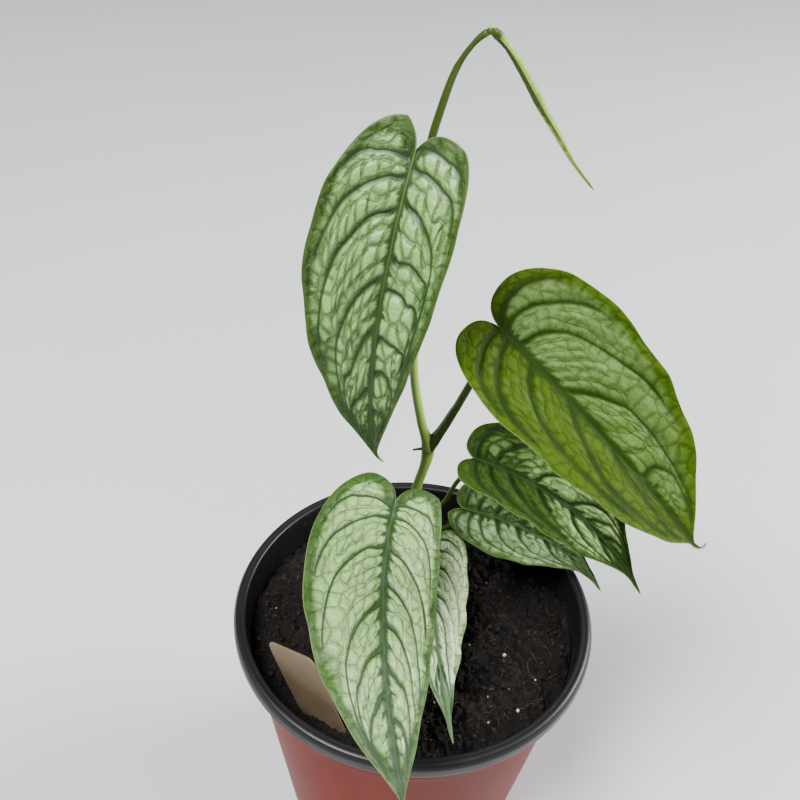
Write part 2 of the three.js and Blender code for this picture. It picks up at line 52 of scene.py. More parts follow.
# The same leaves as in the part's source. Heading, pitch and roll are degrees at the sinus, where
# the petiole joins; droop, sway and twist are what they change by along the blade. A side is its
# width, where it is widest, how far its lobe reaches back and how far out that is. The grid has so
# many points along the outline and across each half, and vein_spacing is the mm between fine veins.
LEAVES = by_leaf(
    number=(1, 2, 3, 4, 5, 6),
    sinus=((-8.7, 9.4, 257.7), (17.8, 16.3, 203.1), (16, 19.8, 149.4), (-8.3, 0.3, 147.5),
           (15, 22.6, 123.7), (6.3, 12.4, 119.9)),
    heading=(-117, -41.5, -6.5, -98, -4.5, -95.5),
    pitch=(-62, -22, -13, -2, -9.5, -9.5),
    roll=(8, -24.5, -12.5, 13, -22, 22.5),
    droop=(30, 19, 25, 17.5, 29.5, 15),
    tip_droop=(12, 2, 8.5, 7, 16, 5),
    sway=(-4.5, 17.5, -28.5, 24.5, -3, 22.5),
    twist=(4, 16, -6, 5.5, -3.5, 3.5),
    length=(90.5, 82, 67.5, 88.5, 58.5, 62.5),
    drip=(4.5, 5.5, 5, 3, 4, 5),
    drip_turn=(-86, 48, 2.5, 3, 3.5, 0),
    drip_lift=(17, 150, -1, -2, -2.5, 0),
    right=((21.3, 28.3, 7.3, 3.8), (22.6, 22.7, 5.1, 8.8), (14.8, 21.5, 3.9, 10.2),
           (22.6, 23.2, 8.5, 8.3), (13.6, 13.5, 5.1, 3), (12.9, 15, 6.2, 5.9)),
    left=((16.3, 12.7, 3.2, 11.6), (25.7, 16.8, 8.9, 9.8), (17.6, 20.2, 2.6, 7.8),
          (16.7, 24.5, 7.2, 12.7), (13.8, 19.1, 2.6, 6.1), (12.4, 15.5, 3.5, 7.8)),
    fullness=(0.5, 0.82, 0.67, 0.57, 0.45, 0.5),
    taper=(0.15, 0.12, 0.28, 0.16, 0.37, 0.23),
    tip_width=(0.15, 0.21, 0.1, 0.27, 0.06, 0.1),
    fold=(0.19, 0.26, 0.21, 0.1, 0.18, 0.14),
    camber=(0.03, -0.09, 0.05, 0.24, 0.12, 0.14),
    wave=(0.4, 1.3, 2.2, 3.1, 0.9, 2.7),
    grid=((270, 62), (250, 62), (200, 46), (260, 60), (180, 42), (190, 42)),
    vein_spacing=(5.4, 4.6, 4.6, 4.4, 4.2, 4.2),
)

TAIL_ROWS = 16
TIP_HALF_WIDTH = 0.8
MIDRIB_BACK = -14
MIDRIB_STEP = 0.1
UPPER_FACE = 0.36
BLADE_THICKNESS = 0.46
EDGE_THICKNESS = 0.2

# Relief of the blades: the height or depth of each form and how far from its middle it fades, in mm.
# For the waves of the edge, the height and how many there are.
PANEL_SWELL, PANEL_FADE = 1.36, 3.2
PAD_RISE, PAD_FADE = 0.5, 0.9
FURROW_DEPTH, FURROW_FADE = 0.4, 0.8
RIB_RISE, RIB_FADE = 0.42, 0.42
RIB_DIP, DIP_FADE = 0.5, 1.5
KEEL_DEPTH, KEEL_FADE = 0.9, 0.9
EDGE_WAVE, EDGE_WAVES = 0.7, 5

# Cells of the vein net, in mm: their length along the fine veins, and their size in the even net
NET_CELL = 4.0
OUTER_CELL = 4.1

# Side veins of each half blade, from the lobe to the tip. Each row says how far down the outline a
# vein has run at these stations of the way from the midrib to the edge, all in thousandths.
STATIONS = (0, 150, 300, 450, 600, 700, 780, 850, 920)
COMMON_VEINS = [
    (90, 100, 110, 120, 130, 140, 160, 200, 280),
    (250, 250, 255, 265, 290, 330, 380, 440, 540),
    (410, 410, 420, 440, 480, 540, 600, 660, 750),
    (580, 580, 590, 610, 660, 720, 780, 830, 890),
    (740, 735, 735, 745, 770, 810, 860, 890, 930),
    (860, 860, 860, 865, 880, 900, 920, 940, 960),
]
VEINS = {
    (1, "left"): [
        (45, 55, 68, 82, 88, 90, 94, 110, 160),
        (185, 185, 183, 183, 182, 186, 200, 235, 330),
        (360, 355, 350, 355, 375, 410, 620, 710, 860),
        (545, 530, 490, 470, 455, 450, 640, 730, 875),
        (635, 610, 585, 565, 540, 530, 665, 750, 890),
        (755, 730, 710, 690, 665, 655, 700, 770, 900),
        (820, 800, 785, 780, 775, 775, 790, 820, 910),
        (910, 900, 890, 875, 865, 860, 865, 880, 925),
    ],
    (1, "right"): [
        (120, 145, 150, 155, 160, 165, 175, 200, 260),
        (255, 260, 272, 288, 312, 345, 390, 450, 560),
        (395, 403, 415, 450, 490, 535, 580, 660, 780),
        (600, 605, 625, 658, 700, 765, 840, 890, 930),
        (720, 735, 770, 790, 800, 820, 870, 910, 945),
        (855, 860, 860, 860, 860, 870, 900, 930, 955),
    ],
    (2, "left"): [
        (60, 70, 80, 90, 100, 110, 125, 150, 200),
        (140, 148, 167, 195, 237, 268, 295, 325, 400),
        (285, 305, 328, 360, 460, 535, 578, 640, 760),
        (550, 580, 620, 660, 800, 860, 890, 910, 935),
        (850, 842, 830, 825, 850, 890, 915, 930, 950),
    ],
    (2, "right"): [
        (50, 125, 160, 185, 205, 225, 250, 290, 360),
        (200, 235, 270, 293, 310, 335, 365, 400, 480),
        (405, 427, 450, 485, 550, 625, 700, 760, 840),
        (590, 630, 665, 690, 720, 780, 840, 880, 920),
        (750, 800, 860, 885, 900, 910, 925, 940, 955),
    ],
    (3, "left"): [
        (90, 100, 120, 130, 140, 150, 170, 200, 280),
        (290, 300, 310, 330, 360, 400, 450, 520, 620),
        (550, 555, 565, 600, 640, 690, 740, 790, 850),
        (715, 715, 720, 725, 750, 790, 830, 870, 910),
        (790, 795, 800, 800, 810, 840, 880, 910, 940),
        (870, 865, 865, 870, 880, 900, 920, 940, 960),
    ],
    (4, "left"): [
        (100, 120, 122, 120, 120, 125, 140, 170, 240),
        (235, 235, 235, 240, 250, 290, 340, 420, 550),
        (440, 447, 453, 462, 490, 515, 540, 590, 680),
        (585, 580, 585, 600, 640, 700, 725, 755, 810),
        (700, 700, 700, 715, 755, 785, 800, 820, 860),
        (800, 800, 800, 800, 815, 870, 900, 920, 940),
        (880, 880, 880, 885, 900, 920, 940, 950, 960),
    ],
    (4, "right"): [
        (160, 157, 155, 160, 165, 170, 190, 220, 290),
        (260, 270, 290, 310, 330, 355, 390, 440, 530),
        (445, 445, 455, 475, 510, 550, 595, 640, 720),
        (645, 655, 670, 690, 725, 785, 870, 910, 940),
        (760, 765, 770, 780, 800, 840, 900, 925, 950),
        (850, 850, 855, 860, 870, 890, 920, 940, 960),
    ],
    (5, "right"): [
        (80, 80, 80, 78, 78, 85, 100, 140, 200),
        (200, 195, 190, 190, 190, 200, 220, 270, 360),
        (310, 305, 300, 300, 310, 350, 420, 500, 600),
        (440, 435, 430, 430, 450, 500, 600, 680, 780),
        (580, 575, 570, 575, 600, 650, 730, 800, 870),
        (730, 730, 730, 730, 740, 780, 840, 880, 920),
        (860, 860, 860, 860, 870, 890, 920, 940, 960),
    ],
    (6, "left"): [
        (100, 100, 100, 100, 110, 120, 140, 180, 250),
        (250, 240, 220, 215, 215, 225, 250, 300, 400),
        (390, 390, 385, 400, 430, 480, 540, 600, 700),
        (570, 565, 560, 575, 600, 640, 690, 740, 810),
        (640, 645, 670, 770, 820, 850, 870, 890, 920),
        (850, 860, 870, 880, 895, 910, 925, 940, 960),
    ],
}

# Look of each leaf. Colours: silver, green round it, dark veins, midrib line, underside. They were set
# leaf by leaf and carry painted light and shade: leaves 3 and 5, which lie in leaf 2's shade, are painted
# darker, and leaf 2's yellow green stands in for light shining through it. Pads tells how much brighter
# the silver is inside the cells of the net, partly as a painted highlight on the puffed cells. As pairs
# for the left and right half: amount of silver, and width in mm of the green edge. Tip adds silver
# towards the tip. Widths in mm: band of green beside the midrib, halo and soft border of the silver
# beside the side veins. Shares: lines and net tell how dark side veins and net are. Quilt is the relief
# of the net, and shine and rough are the surface's.
LOOKS = by_leaf(
    silver=(0x65874A, 0x48622E, 0x6C8C4E, 0x76965A, 0x627A50, 0xC6ECA6),
    green=(0x304C08, 0x385000, 0x30480A, 0x345418, 0x34500F, 0x6C944E),
    dark=(0x1C3408, 0x1A2E00, 0x1A2E06, 0x1C3610, 0x223C0A, 0x42663A),
    rib=(0x56782A, 0x223E04, 0x304C10, 0x3A5C22, 0x425E22, 0x76984C),
    under=(0x8FA872, 0x9DB35C, 0x86A060, 0x93AB78, 0x8CA566, 0x96AC7C),
    pads=(0.5, 0.2, 0.45, 0.2, 0.4, 0.2),
    amount=((1.1, 0.95), (0.9, 0.12), (0.25, -1.0), (1.45, 1.0), (0.5, 1.05), (1.6, 1.6)),
    margin=((1.8, 2.4), (2.8, 3.0), (2.2, 1.5), (2.0, 2.8), (1.4, 1.0), (0.4, 0.4)),
    tip=(-0.3, -0.4, 2.2, -0.2, 0.1, 0.1),
    band=(0.6, 1.0, 0.9, 0.9, 0.9, 0.5),
    halo=(0.0, 0.0, 0.0, 0.1, 0.0, 0.0),
    soft=(1.4, 1.5, 1.3, 1.0, 1.2, 0.6),
    lines=(0.64, 0.62, 0.6, 0.76, 0.5, 0.5),
    net=(0.62, 0.42, 0.55, 0.7, 0.65, 0.75),
    quilt=(0.42, 0.24, 0.24, 0.32, 0.26, 0.3),
    shine=(0.38, 0.1, 0.1, 0.38, 0.2, 0.32),
    rough=(0.35, 0.46, 0.48, 0.35, 0.44, 0.36),
)

STEM_ROUTE = [
    (-5.4, 31, 62), (-5, 30, 89), (-3.3, 28.3, 110), (-1.5, 26.1, 128), (1.2, 22.4, 150),
    (-1.8, 21.6, 162.6), (-5.2, 20.5, 183), (-5.8, 20.2, 210),
]
STEM_RADII = [
    (0, 1.8), (0.3, 1.7), (0.42, 1.6), (0.53, 1.6), (0.575, 2.05), (0.6, 2.3), (0.63, 1.75), (0.67, 1.5),
    (0.8, 1.35), (0.93, 1.35), (0.98, 1.75), (1, 1.6),
]
# Ring scars of the vine: where along it, as a share, and how deep
SCARS = [(0.592, 0.16), (0.617, 0.1), (0.965, 0.1), (0.36, 0.08), (0.33, 0.08), (0.28, 0.08)]
SCAR_WIDTH = 0.0035
ROOT_NUB = [(0.6, 22.5, 150), (-1.6, 22.3, 149.8), (-3.9, 22.1, 149.4)]

# Petioles: where each leaves the vine's middle line, the points it bends through, its radius, a direction
# across its bends, how long its sheath is and how dark it is. The darkness of leaf 2's petiole is partly
# painted shade under its blade.
PETIOLES = by_leaf(
    start=((-5.8, 20.2, 204.5), (1.5, 22.2, 150.8), (-2.9, 27.8, 114), (-3.5, 28.5, 107),
           (-4.2, 29.1, 100), (-4.7, 29.6, 94)),
    through=([(-9.6, 18.2, 210.5), (-10, 17, 235)], [(5.8, 20.8, 161.5), (11.2, 19.4, 177.5)],
             [(6.9, 25, 121.6), (11.6, 22.4, 136)], [(-6.4, 20, 117), (-8.6, 7.4, 138)],
             [(5, 28.4, 105), (12.4, 25.2, 113.5)], [(1, 23, 96.5), (5.6, 15.4, 107.5)]),
    radius=(1.2, 1.3, 0.85, 1.1, 0.85, 0.8),
    across=((1, 0, 0), (0, 1, 0), (0, 1, 0), (1, 0, 0), (0, 1, 0), (1, 0, 0)),
    sheath=(16, 22, 12, 14, 8, 6),
    dark=(0.15, 1.0, 0.95, 0.2, 0.8, 0.5),
)

# How much wider than its radius a petiole is at its foot, by mm from the vine's middle
PETIOLE_FLARE = [(0, 1.45), (3.5, 1.4), (8, 1.12), (16, 1.0), (200, 1.0)]
WING_ANGLES = (2.5, 3.78)
NEW_PETIOLE_ROUTE = [
    (-5.7, 20.3, 207), (-4.6, 20.8, 226), (-5.4, 19.4, 244), (-5.2, 18.6, 254.5), (-3.2, 18.9, 264.2),
    (0.1, 19.7, 275), (3.7, 20, 280.8), (5.9, 20, 282.9), (7.2, 20, 283.6),
]
NEW_PETIOLE_RADII = [
    (0, 1.45), (0.06, 1.3), (0.25, 1.15), (0.6, 1.1), (0.76, 1.02), (0.85, 0.88), (0.88, 0.74),
    (0.94, 0.68), (0.985, 0.9), (1, 0.6),
]
NEW_LEAF_ROUTE = [
    (6.6, 20, 284.35), (8.6, 20, 282.9), (12.4, 20.9, 278.9), (17.2, 21.8, 272.1), (21.6, 22.8, 265.2),
    (26.5, 23.7, 258.2), (32.1, 24.6, 250.2), (39, 26, 242.1),
]
NEW_LEAF_RADII = [
    (0, 0.8), (0.05, 1.2), (0.12, 0.98), (0.2, 1.12), (0.4, 1.3), (0.55, 1.05), (0.7, 0.8), (0.82, 0.5),
    (0.97, 0.33), (1, 0.1),
]
LOBE_ROUTE = [(6.0, 19.6, 283.6), (7.2, 19.2, 283.85), (9.6, 19.4, 282.2)]
LOBE_RADIUS = 0.74
# Direction of the light painted onto the stalks: their sides towards it are painted paler, the sides away
# from it darker
PAINTED_LIGHT_SIDE = (1.0, -0.35, 0.3)
SEAM_ANGLE = 2.4
ROLL_START, ROLL_TURNS, ROLL_STEP = -0.22, -0.12, 0.26

# Pot: half its profile as (radius, height), and which corner starts the black inside and rim
POT_FLOOR = 3.2
POT_PROFILE = [
    (0, 0), (16, 0), (18, 2), (34, 2), (36, 0), (41.5, 0), (43, 1.5), (54.2, 84), (55.6, 86),
    (56.2, 94.6), (56.6, 98), (58.6, 98.2), (58.8, 94.6), (59.5, 94.3), (60, 95.2), (60, 98.2),
    (59.2, 99.7), (58.2, 100), (57.4, 99.7), (56.9, 99.8), (56.2, 99.5), (55.9, 98.6), (55.3, 94.6),
    (54.7, 86.6), (53.2, 84.6), (42, 4.2), (41, POT_FLOOR), (0, POT_FLOOR),
]
RIM_STARTS_AT = 9
POT_SIDES = 192
DRAIN_HOLES, DRAIN_RADIUS, DRAIN_CIRCLE = 6, 4, 26

# Soil: its wall is given as (height, radius), the last one at its foot
SOIL_HEIGHT = 89
SOIL_EDGE = 54.5
SOIL_LUMP = 1.1
SOIL_GRID = 250
SOIL_FOOT = 3.5
SOIL_WALL = [(84.4, 52.9), (60, 50.2), (30, 46), (4.4, 42), (SOIL_FOOT, 41)]
CRUMBS, FIBRES, SMALL_GRAINS = 2300, 260, 16
GRAINS = [(31.3, -10.7), (34.5, -32.2), (19.6, -7.5), (25.2, -35.8), (-40.5, -18.6), (8, -30), (41, -20)]
GRAIN_SIZES = [0.9, 0.8, 0.45, 0.5, 0.5, 0.45, 0.4]

# Label: its place is that of its upper left corner, with its directions across and down
LABEL_WIDTH, LABEL_LENGTH, LABEL_THICKNESS = 20, 60, 0.8
LABEL_CORNER = 3
LABEL_POINT = 12
LABEL_BOW = 0.3
# Rings round the label's edge: how far in from its outline, and where through its thickness
LABEL_RIM = [(0.45, -0.5), (0.12, -0.42), (0.0, -0.2), (0.0, 0.2), (0.12, 0.42), (0.45, 0.5)]
LABEL_TOP_LEFT = (-44.7, -28.8, 114)
LABEL_ACROSS = (0.764, -0.553, 0.335)
LABEL_DOWN = (0.327, -0.114, -0.938)

# Camera: its place in mm, and its turn below level, its roll and its view in degrees
CAMERA_PLACE = (-8.8, -210.2, 357.2)
CAMERA_DOWN = 38.9
CAMERA_ROLL = 3.5
CAMERA_WIDTH = 45
LIGHTS_AIM = (0, 0, 0.15)


# ---------------------------------------------------------------- numbers and noise

def unit(vectors):
    """Each vector divided by its length."""
    return vectors / np.maximum(np.linalg.norm(vectors, axis=-1, keepdims=True), 1e-12)


def between(stops, t):
    """The value at t between stops (place, value), on a straight line from each to the next."""
    places, values = zip(*stops)
    return np.interp(t, places, values)


def bump(x, centre, width):
    """A bell of height 1: exp(-((x - centre) / width)^2)."""
    return np.exp(-(((x - centre) / width) ** 2))


def round_bump(angle, centre, width):
    """The same bell over an angle, whose distance from the centre is taken the short way round."""
    return bump(np.angle(np.exp(1j * (angle - centre))), 0, width)


def run_of(line):
    """How far along a line of points each one lies: the sum of the steps before it."""
    return np.concatenate([[0], np.cumsum(np.linalg.norm(np.diff(line, axis=0), axis=1))])


def points_at(places, run, line):
    """Points of a line where it has run to the given places, straight from each point to the next."""
    return np.stack([np.interp(places, run, column) for column in line.T], -1)


def smooth_step(low, high, x):
    """0 below low, 1 above high, and 3s^2 - 2s^3 of the share s in between."""
    s = np.clip((x - low) / (high - low), 0, 1)
    return s * s * (3 - 2 * s)


def hashed(cell, seed):
    """A number from 0 to 1 for each cell of whole numbers: the three are multiplied by large odd
    numbers and combined, and the result is shifted and multiplied twice to mix its bits."""
    c = cell.astype(np.int64).astype(np.uint32)
    h = np.uint32((seed * 0x9E3779B1) & 0xFFFFFFFF)
    for k, factor in enumerate((0x8DA6B343, 0xD8163841, 0xCB1AB31F)):
        h = h ^ (c[..., k] * np.uint32(factor))
    for shift, factor in ((15, 0x2C1B3C6D), (12, 0x297A2D39), (15, 0x1B873593)):
        h = (h ^ (h >> np.uint32(shift))) * np.uint32(factor)
    return (h ^ (h >> np.uint32(16))) / 2.0**32


def noise(places, seed):
    """Smooth noise from -1 to 1: the hashed numbers of the eight cells round each place, weighted by
    3s^2 - 2s^3 of its share of the way to each. Places with two coordinates get a third of 0."""
    if places.shape[-1] == 2:
        places = np.concatenate([places, np.zeros(places.shape[:-1] + (1,))], -1)
    cell = np.floor(places)
    s = places - cell
    s = s * s * (3 - 2 * s)
    total = 0
    for corner in np.ndindex(2, 2, 2):
        weight = np.prod(np.where(np.array(corner) == 1, s, 1 - s), axis=-1)
        total = total + weight * hashed(cell + np.array(corner), seed)
    return 2 * total - 1


def lumps(places, size, seed):
    """Heights of round lumps that cover a plane: each square cell of the given size holds a ball at a
    hashed place with a hashed radius, and the height is that of the highest ball over each place."""
    at = places / size
    cell = np.floor(at)
    flat = np.zeros(cell.shape[:-1] + (1,))
    best = np.zeros(cell.shape[:-1])
    for dx, dy in np.ndindex(3, 3):
        near = cell + (dx - 1, dy - 1)
        key = np.concatenate([near, flat], -1)
        centre = near + np.stack([hashed(key, seed), hashed(key, seed + 1)], -1)
        radius = 0.3 + 0.5 * hashed(key, seed + 2)
        apart = ((at - centre) ** 2).sum(-1)
        best = np.maximum(best, np.sqrt(np.maximum(radius**2 - apart, 0)))
    return best * size


# ---------------------------------------------------------------- meshes

def grid_faces(rows, columns, closed=False):
    """Four-cornered faces of points numbered row by row. closed joins the last column to the first."""
    i = np.arange(rows - 1)[:, None] * columns
    j = np.arange(columns if closed else columns - 1)[None, :]
    after = (j + 1) % columns
    return np.stack([i + j, i + after, i + columns + after, i + columns + j], -1).reshape(-1, 4)


def fan(pole, ring):
    """Triangles from one point to each side of a closed ring."""
    return np.stack([np.full(len(ring), pole), ring, np.roll(ring, -1)], -1)


def joined(*solids):
    """Several (points, faces) as one, with the later ones' corner numbers raised."""
    points = np.concatenate([p for p, _ in solids])
    starts = np.cumsum([0] + [len(p) for p, _ in solids])
    return points, [f + start for (_, faces), start in zip(solids, starts) for f in faces]


def new_object(name, data):
    """An object at the origin, in the scene."""
    obj = bpy.data.objects.new(name, data)
    bpy.context.scene.collection.objects.link(obj)
    return obj


def piece(name, points, faces, finishes, slot, nodes=(), attributes=None, patches=None):
    """Makes a closed mesh that rides on the root body. Faces is a list of arrays of corner numbers, each
    row a face. All faces are turned over if the volume they enclose, summed as the triple products of
    their corners, comes out negative. patches gives each face's number in finishes."""
    volume = 0
    for f in faces:
        for k in range(1, f.shape[1] - 1):
            a, b, c = points[f[:, 0]], points[f[:, k]], points[f[:, k + 1]]
            volume += np.einsum("ij,ij->", a, np.cross(b, c))
    if volume < 0:
        faces = [f[:, ::-1] for f in faces]
    corners = np.concatenate([f.ravel() for f in faces]).astype(np.int32)
    counts = np.concatenate([np.full(len(f), f.shape[1]) for f in faces])
    mesh = bpy.data.meshes.new(name)
    mesh.vertices.add(len(points))
    mesh.vertices.foreach_set("co", (points * MM).astype(np.float32).ravel())
    mesh.loops.add(len(corners))
    mesh.loops.foreach_set("vertex_index", corners)
    mesh.polygons.add(len(counts))
    mesh.polygons.foreach_set("loop_start", (np.cumsum(counts) - counts).astype(np.int32))
    mesh.polygons.foreach_set("use_smooth", np.ones(len(counts), bool))
    for finish in finishes:
        mesh.materials.append(finish.material)
    if patches is not None:
        mesh.polygons.foreach_set("material_index", patches.astype(np.int32))
    mesh.update(calc_edges=True)
    for key, values in (attributes or {}).items():
        kind = "FLOAT" if values.ndim == 1 else "FLOAT_VECTOR"
        data = mesh.attributes.new(key, kind, "POINT").data
        data.foreach_set("value" if values.ndim == 1 else "vector", values.astype(np.float32).ravel())
    obj = new_object(name, mesh)
    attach(obj, "root")
    if nodes:
        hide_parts(*nodes)
    return obj


# ---------------------------------------------------------------- shader maths

def colour(number):
    """A 0xRRGGBB screen colour as the linear colour that shaders take."""
    parts = np.array([number >> 16 & 255, number >> 8 & 255, number & 255]) / 255
    linear = np.where(parts <= 0.04045, parts / 12.92, ((parts + 0.055) / 1.055) ** 2.4)
    return (*linear.tolist(), 1.0)


class Value:
    """An output of a finish's node. Its operators add the Math nodes that they stand for."""

    def __init__(self, finish, socket):
        self.finish = finish
        self.socket = socket

    def __add__(self, other):
        return self.finish.maths("ADD", self, other)

    def __sub__(self, other):
        return self.finish.maths("SUBTRACT", self, other)

    def __rsub__(self, other):
        return self.finish.maths("SUBTRACT", other, self)

    def __mul__(self, other):
        return self.finish.maths("MULTIPLY", self, other)

    def __truediv__(self, other):
        return self.finish.maths("DIVIDE", self, other)

    def __rtruediv__(self, other):
        return self.finish.maths("DIVIDE", other, self)

    __radd__ = __add__
    __rmul__ = __mul__

    def step(self, low, high):
        """0 below low and 1 above high, smooth in between."""
        inputs = {"Value": self, "From Min": low, "From Max": high}
        return self.finish.add("ShaderNodeMapRange", {"interpolation_type": "SMOOTHSTEP"}, inputs)

    def parts(self):
        """The three numbers of a vector."""
        return [self.finish.add("ShaderNodeSeparateXYZ", {}, {0: self}, axis) for axis in "XYZ"]


class Finish:
    """A material on the Principled shader, whose node tree is written as sums of Values."""

    def __init__(self, name, specular):
        self.material = bpy.data.materials.new(name)
        self.material.use_nodes = True
        self.nodes = self.material.node_tree.nodes
        self.shader = self.nodes["Principled BSDF"]
        self.feed(self.shader, {"Specular IOR Level": specular})

    def feed(self, node, inputs):
        """Sets each named or numbered socket of a node to a number or colour, or links a Value to it."""
        for key, value in inputs.items():
            if isinstance(value, Value):
                self.material.node_tree.links.new(value.socket, node.inputs[key])
            else:
                node.inputs[key].default_value = value

    def add(self, kind, settings, inputs, out=0):
        """Adds a node, makes its settings, fills its sockets and returns one output as a Value."""
        node = self.nodes.new(kind)
        for key, value in settings.items():
            setattr(node, key, value)
        self.feed(node, inputs)
        return Value(self, node.outputs[out])

    def maths(self, operation, *values):
        """A Math node over its numbers or Values."""
        return self.add("ShaderNodeMath", {"operation": operation}, dict(enumerate(values)))

    def mix(self, share, first, second):
        """First colour where share is 0, second where it is 1; each is a Value or a 0xRRGGBB number."""
        first, second = (colour(c) if isinstance(c, int) else c for c in (first, second))
        return self.add("ShaderNodeMix", {"data_type": "RGBA"}, {0: share, 6: first, 7: second}, 2)

    def attribute(self, name, out="Vector"):
        """What the piece's points carry under this name."""
        return self.add("ShaderNodeAttribute", {"attribute_name": name}, {}, out)

    def place(self):
        """The object's own coordinates, in metres."""
        return self.add("ShaderNodeTexCoord", {}, {}, "Object")

    def vector(self, x, y, z=0.0):
        """Three numbers as a vector."""
        return self.add("ShaderNodeCombineXYZ", {}, {"X": x, "Y": y, "Z": z})

    def clouds(self, at, scale, detail=3.0):
        """Noise about 0, mostly from -0.5 to 0.5."""
        inputs = {"Vector": at, "Scale": scale, "Detail": detail, "Roughness": 0.55}
        return self.add("ShaderNodeTexNoise", {}, inputs) - 0.5

    def cracks(self, at, scale, randomness):
        """Distance to the border between random cells, in cells."""
        settings = {"feature": "DISTANCE_TO_EDGE", "voronoi_dimensions": "2D"}
        inputs = {"Vector": at, "Scale": scale, "Randomness": randomness}
        return self.add("ShaderNodeTexVoronoi", settings, inputs)

    def surface(self, base, roughness, height=None):
        """Gives the shader its colour, its roughness and a bump by a height in millimetres."""
        self.feed(self.shader, {"Base Color": base, "Roughness": roughness})
        if height is not None:
            inputs = {"Height": height, "Distance": MM, "Strength": 1.0}
            self.feed(self.shader, {"Normal": self.add("ShaderNodeBump", {}, inputs)})
        return self


# ---------------------------------------------------------------- leaves

def turned(first, second, angle):
    """Two square directions turned in their own plane, the first towards the second by angle."""
    c, s = np.cos(angle)[:, None], np.sin(angle)[:, None]
    return first * c + second * s, second * c - first * s


def blade_axes(leaf, y):
    """Directions of a blade where its midrib has run y: along it, across it to the right, and up out
    of its face. With q the share of the length, pitch falls by droop q + tip_droop q^2, heading turns
    by sway q and roll by twist q. Past the length, the tail turns in the blade's plane and lifts."""
    q = np.clip(y / leaf["length"], 0, 1)
    pitch = np.radians(leaf["pitch"] - leaf["droop"] * q - leaf["tip_droop"] * q * q)
    heading = np.radians(leaf["heading"] + leaf["sway"] * q)
    c, s = np.cos(heading), np.sin(heading)
    along = np.stack([np.cos(pitch) * c, np.cos(pitch) * s, np.sin(pitch)], -1)
    level = np.stack([s, -c, 0 * heading], -1)
    up = np.cross(level, along)
    across, face = turned(level, up, np.radians(leaf["roll"] + leaf["twist"] * q))
    d = np.clip((y - leaf["length"]) / leaf["drip"], 0, 1)
    onward, across = turned(along, across, np.radians(leaf["drip_turn"] * d))
    onward, face = turned(onward, face, np.radians(leaf["drip_lift"] * d))
    return onward, across, face


def midrib(leaf, y):
    """Points of the midrib's middle line at distances y from the sinus: the sum of its short steps."""
    ys = np.arange(MIDRIB_BACK, leaf["length"] + leaf["drip"] + 1, MIDRIB_STEP)
    steps = blade_axes(leaf, ys[:-1] + MIDRIB_STEP / 2)[0] * MIDRIB_STEP
    line = np.vstack([np.zeros(3), np.cumsum(steps, axis=0)])
    return points_at(y, ys, line) - points_at(0, ys, line) + leaf["sinus"]


def bezier(points, t):
    """Cubic Bezier curve: its four points weighted by (1-t)^3, 3t(1-t)^2, 3t^2(1-t) and t^3."""
    weights = np.stack([(1 - t) ** 3, 3 * t * (1 - t) ** 2, 3 * t * t * (1 - t), t**3], -1)
    return weights @ np.array(points, float)


def half_outline(leaf, side, u):
    """Outline of a half blade at the shares u of its length, from the back of the lobe to the tail: two
    Bezier curves that meet at the widest place."""
    width, widest, lobe, lobe_at = leaf[side]
    length = leaf["length"]
    rest = length - widest
    t = np.linspace(0, 1, 800)
    lower = bezier([(lobe_at, -lobe), (lobe_at + 0.55 * (width - lobe_at), -lobe),
                    (width, widest - 0.5 * (widest + lobe)), (width, widest)], t)
    upper = bezier([(width, widest), (width, widest + leaf["fullness"] * rest),
                    (TIP_HALF_WIDTH + leaf["tip_width"] * width, length - leaf["taper"] * rest),
                    (TIP_HALF_WIDTH, length)], t)
    line = np.vstack([lower, upper[1:]])
    run = run_of(line)
    return points_at(u * run[-1], run, line)


def half_blade(leaf, side, rows, columns):
    """Grid of one half blade laid flat: u along the outline, v from midrib to edge. A row leaves the
    midrib at L(0.15u + 0.85u^2.3) and bends forward to the edge by 4v(1-v) times a share of its own
    length."""
    sign = 1 if side == "right" else -1
    seed = leaf["number"] * 10 + sign
    u = np.concatenate([np.linspace(0, 1, rows), np.ones(TAIL_ROWS)])[:, None]
    tail = np.concatenate([np.zeros(rows), np.linspace(0, 1, TAIL_ROWS + 1)[1:] ** 0.9 * 0.96])[:, None]
    s = np.linspace(0, 1, columns)[None, :]
    v = 0.62 * s + 0.38 * (1 - np.cos(np.pi * s)) / 2
    _, _, lobe, lobe_at = leaf[side]
    edge = half_outline(leaf, side, u[:, 0])
    root = leaf["length"] * (0.15 * u + 0.85 * u**2.3)
    chord_x, chord_y = edge[:, :1], edge[:, 1:] - root
    at_lobe = min(0.2 * lobe_at / lobe, 0.25)
    bulge = 4 * v * (1 - v) * (0.08 + (at_lobe - 0.08) * np.exp(-9 * u))
    ragged = noise(np.stack([u * 16, 0 * u], -1), seed)
    wobble = 1 + 0.006 * ragged * np.minimum(1, 6 * (1 - u)) * v**6
    x = v * chord_x * wobble + bulge * chord_y
    y = root + v * chord_y * wobble - bulge * chord_x
    x = np.where(tail > 0, v * TIP_HALF_WIDTH * (1 - tail) ** 0.8, x)
    y = np.where(tail > 0, leaf["length"] + tail * leaf["drip"], y)
    return dict(x=x, y=y, u=u + 0 * v, v=v + 0 * u, sign=sign, tail=tail + 0 * v)


def near_line(x, y, starts, ends, chunk=4000):
    """Distance from each flat place to the nearest of some straight pieces."""
    run = ends - starts
    size = np.maximum((run**2).sum(1), 1e-9)
    places = np.stack([x.ravel(), y.ravel()], -1)
    found = np.empty(len(places))
    for first in range(0, len(places), chunk):
        p = places[first:first + chunk, None, :] - starts
        t = np.clip((p * run).sum(-1) / size, 0, 1)
        found[first:first + chunk] = np.linalg.norm(p - t[..., None] * run, axis=-1).min(1)
    return found.reshape(x.shape)


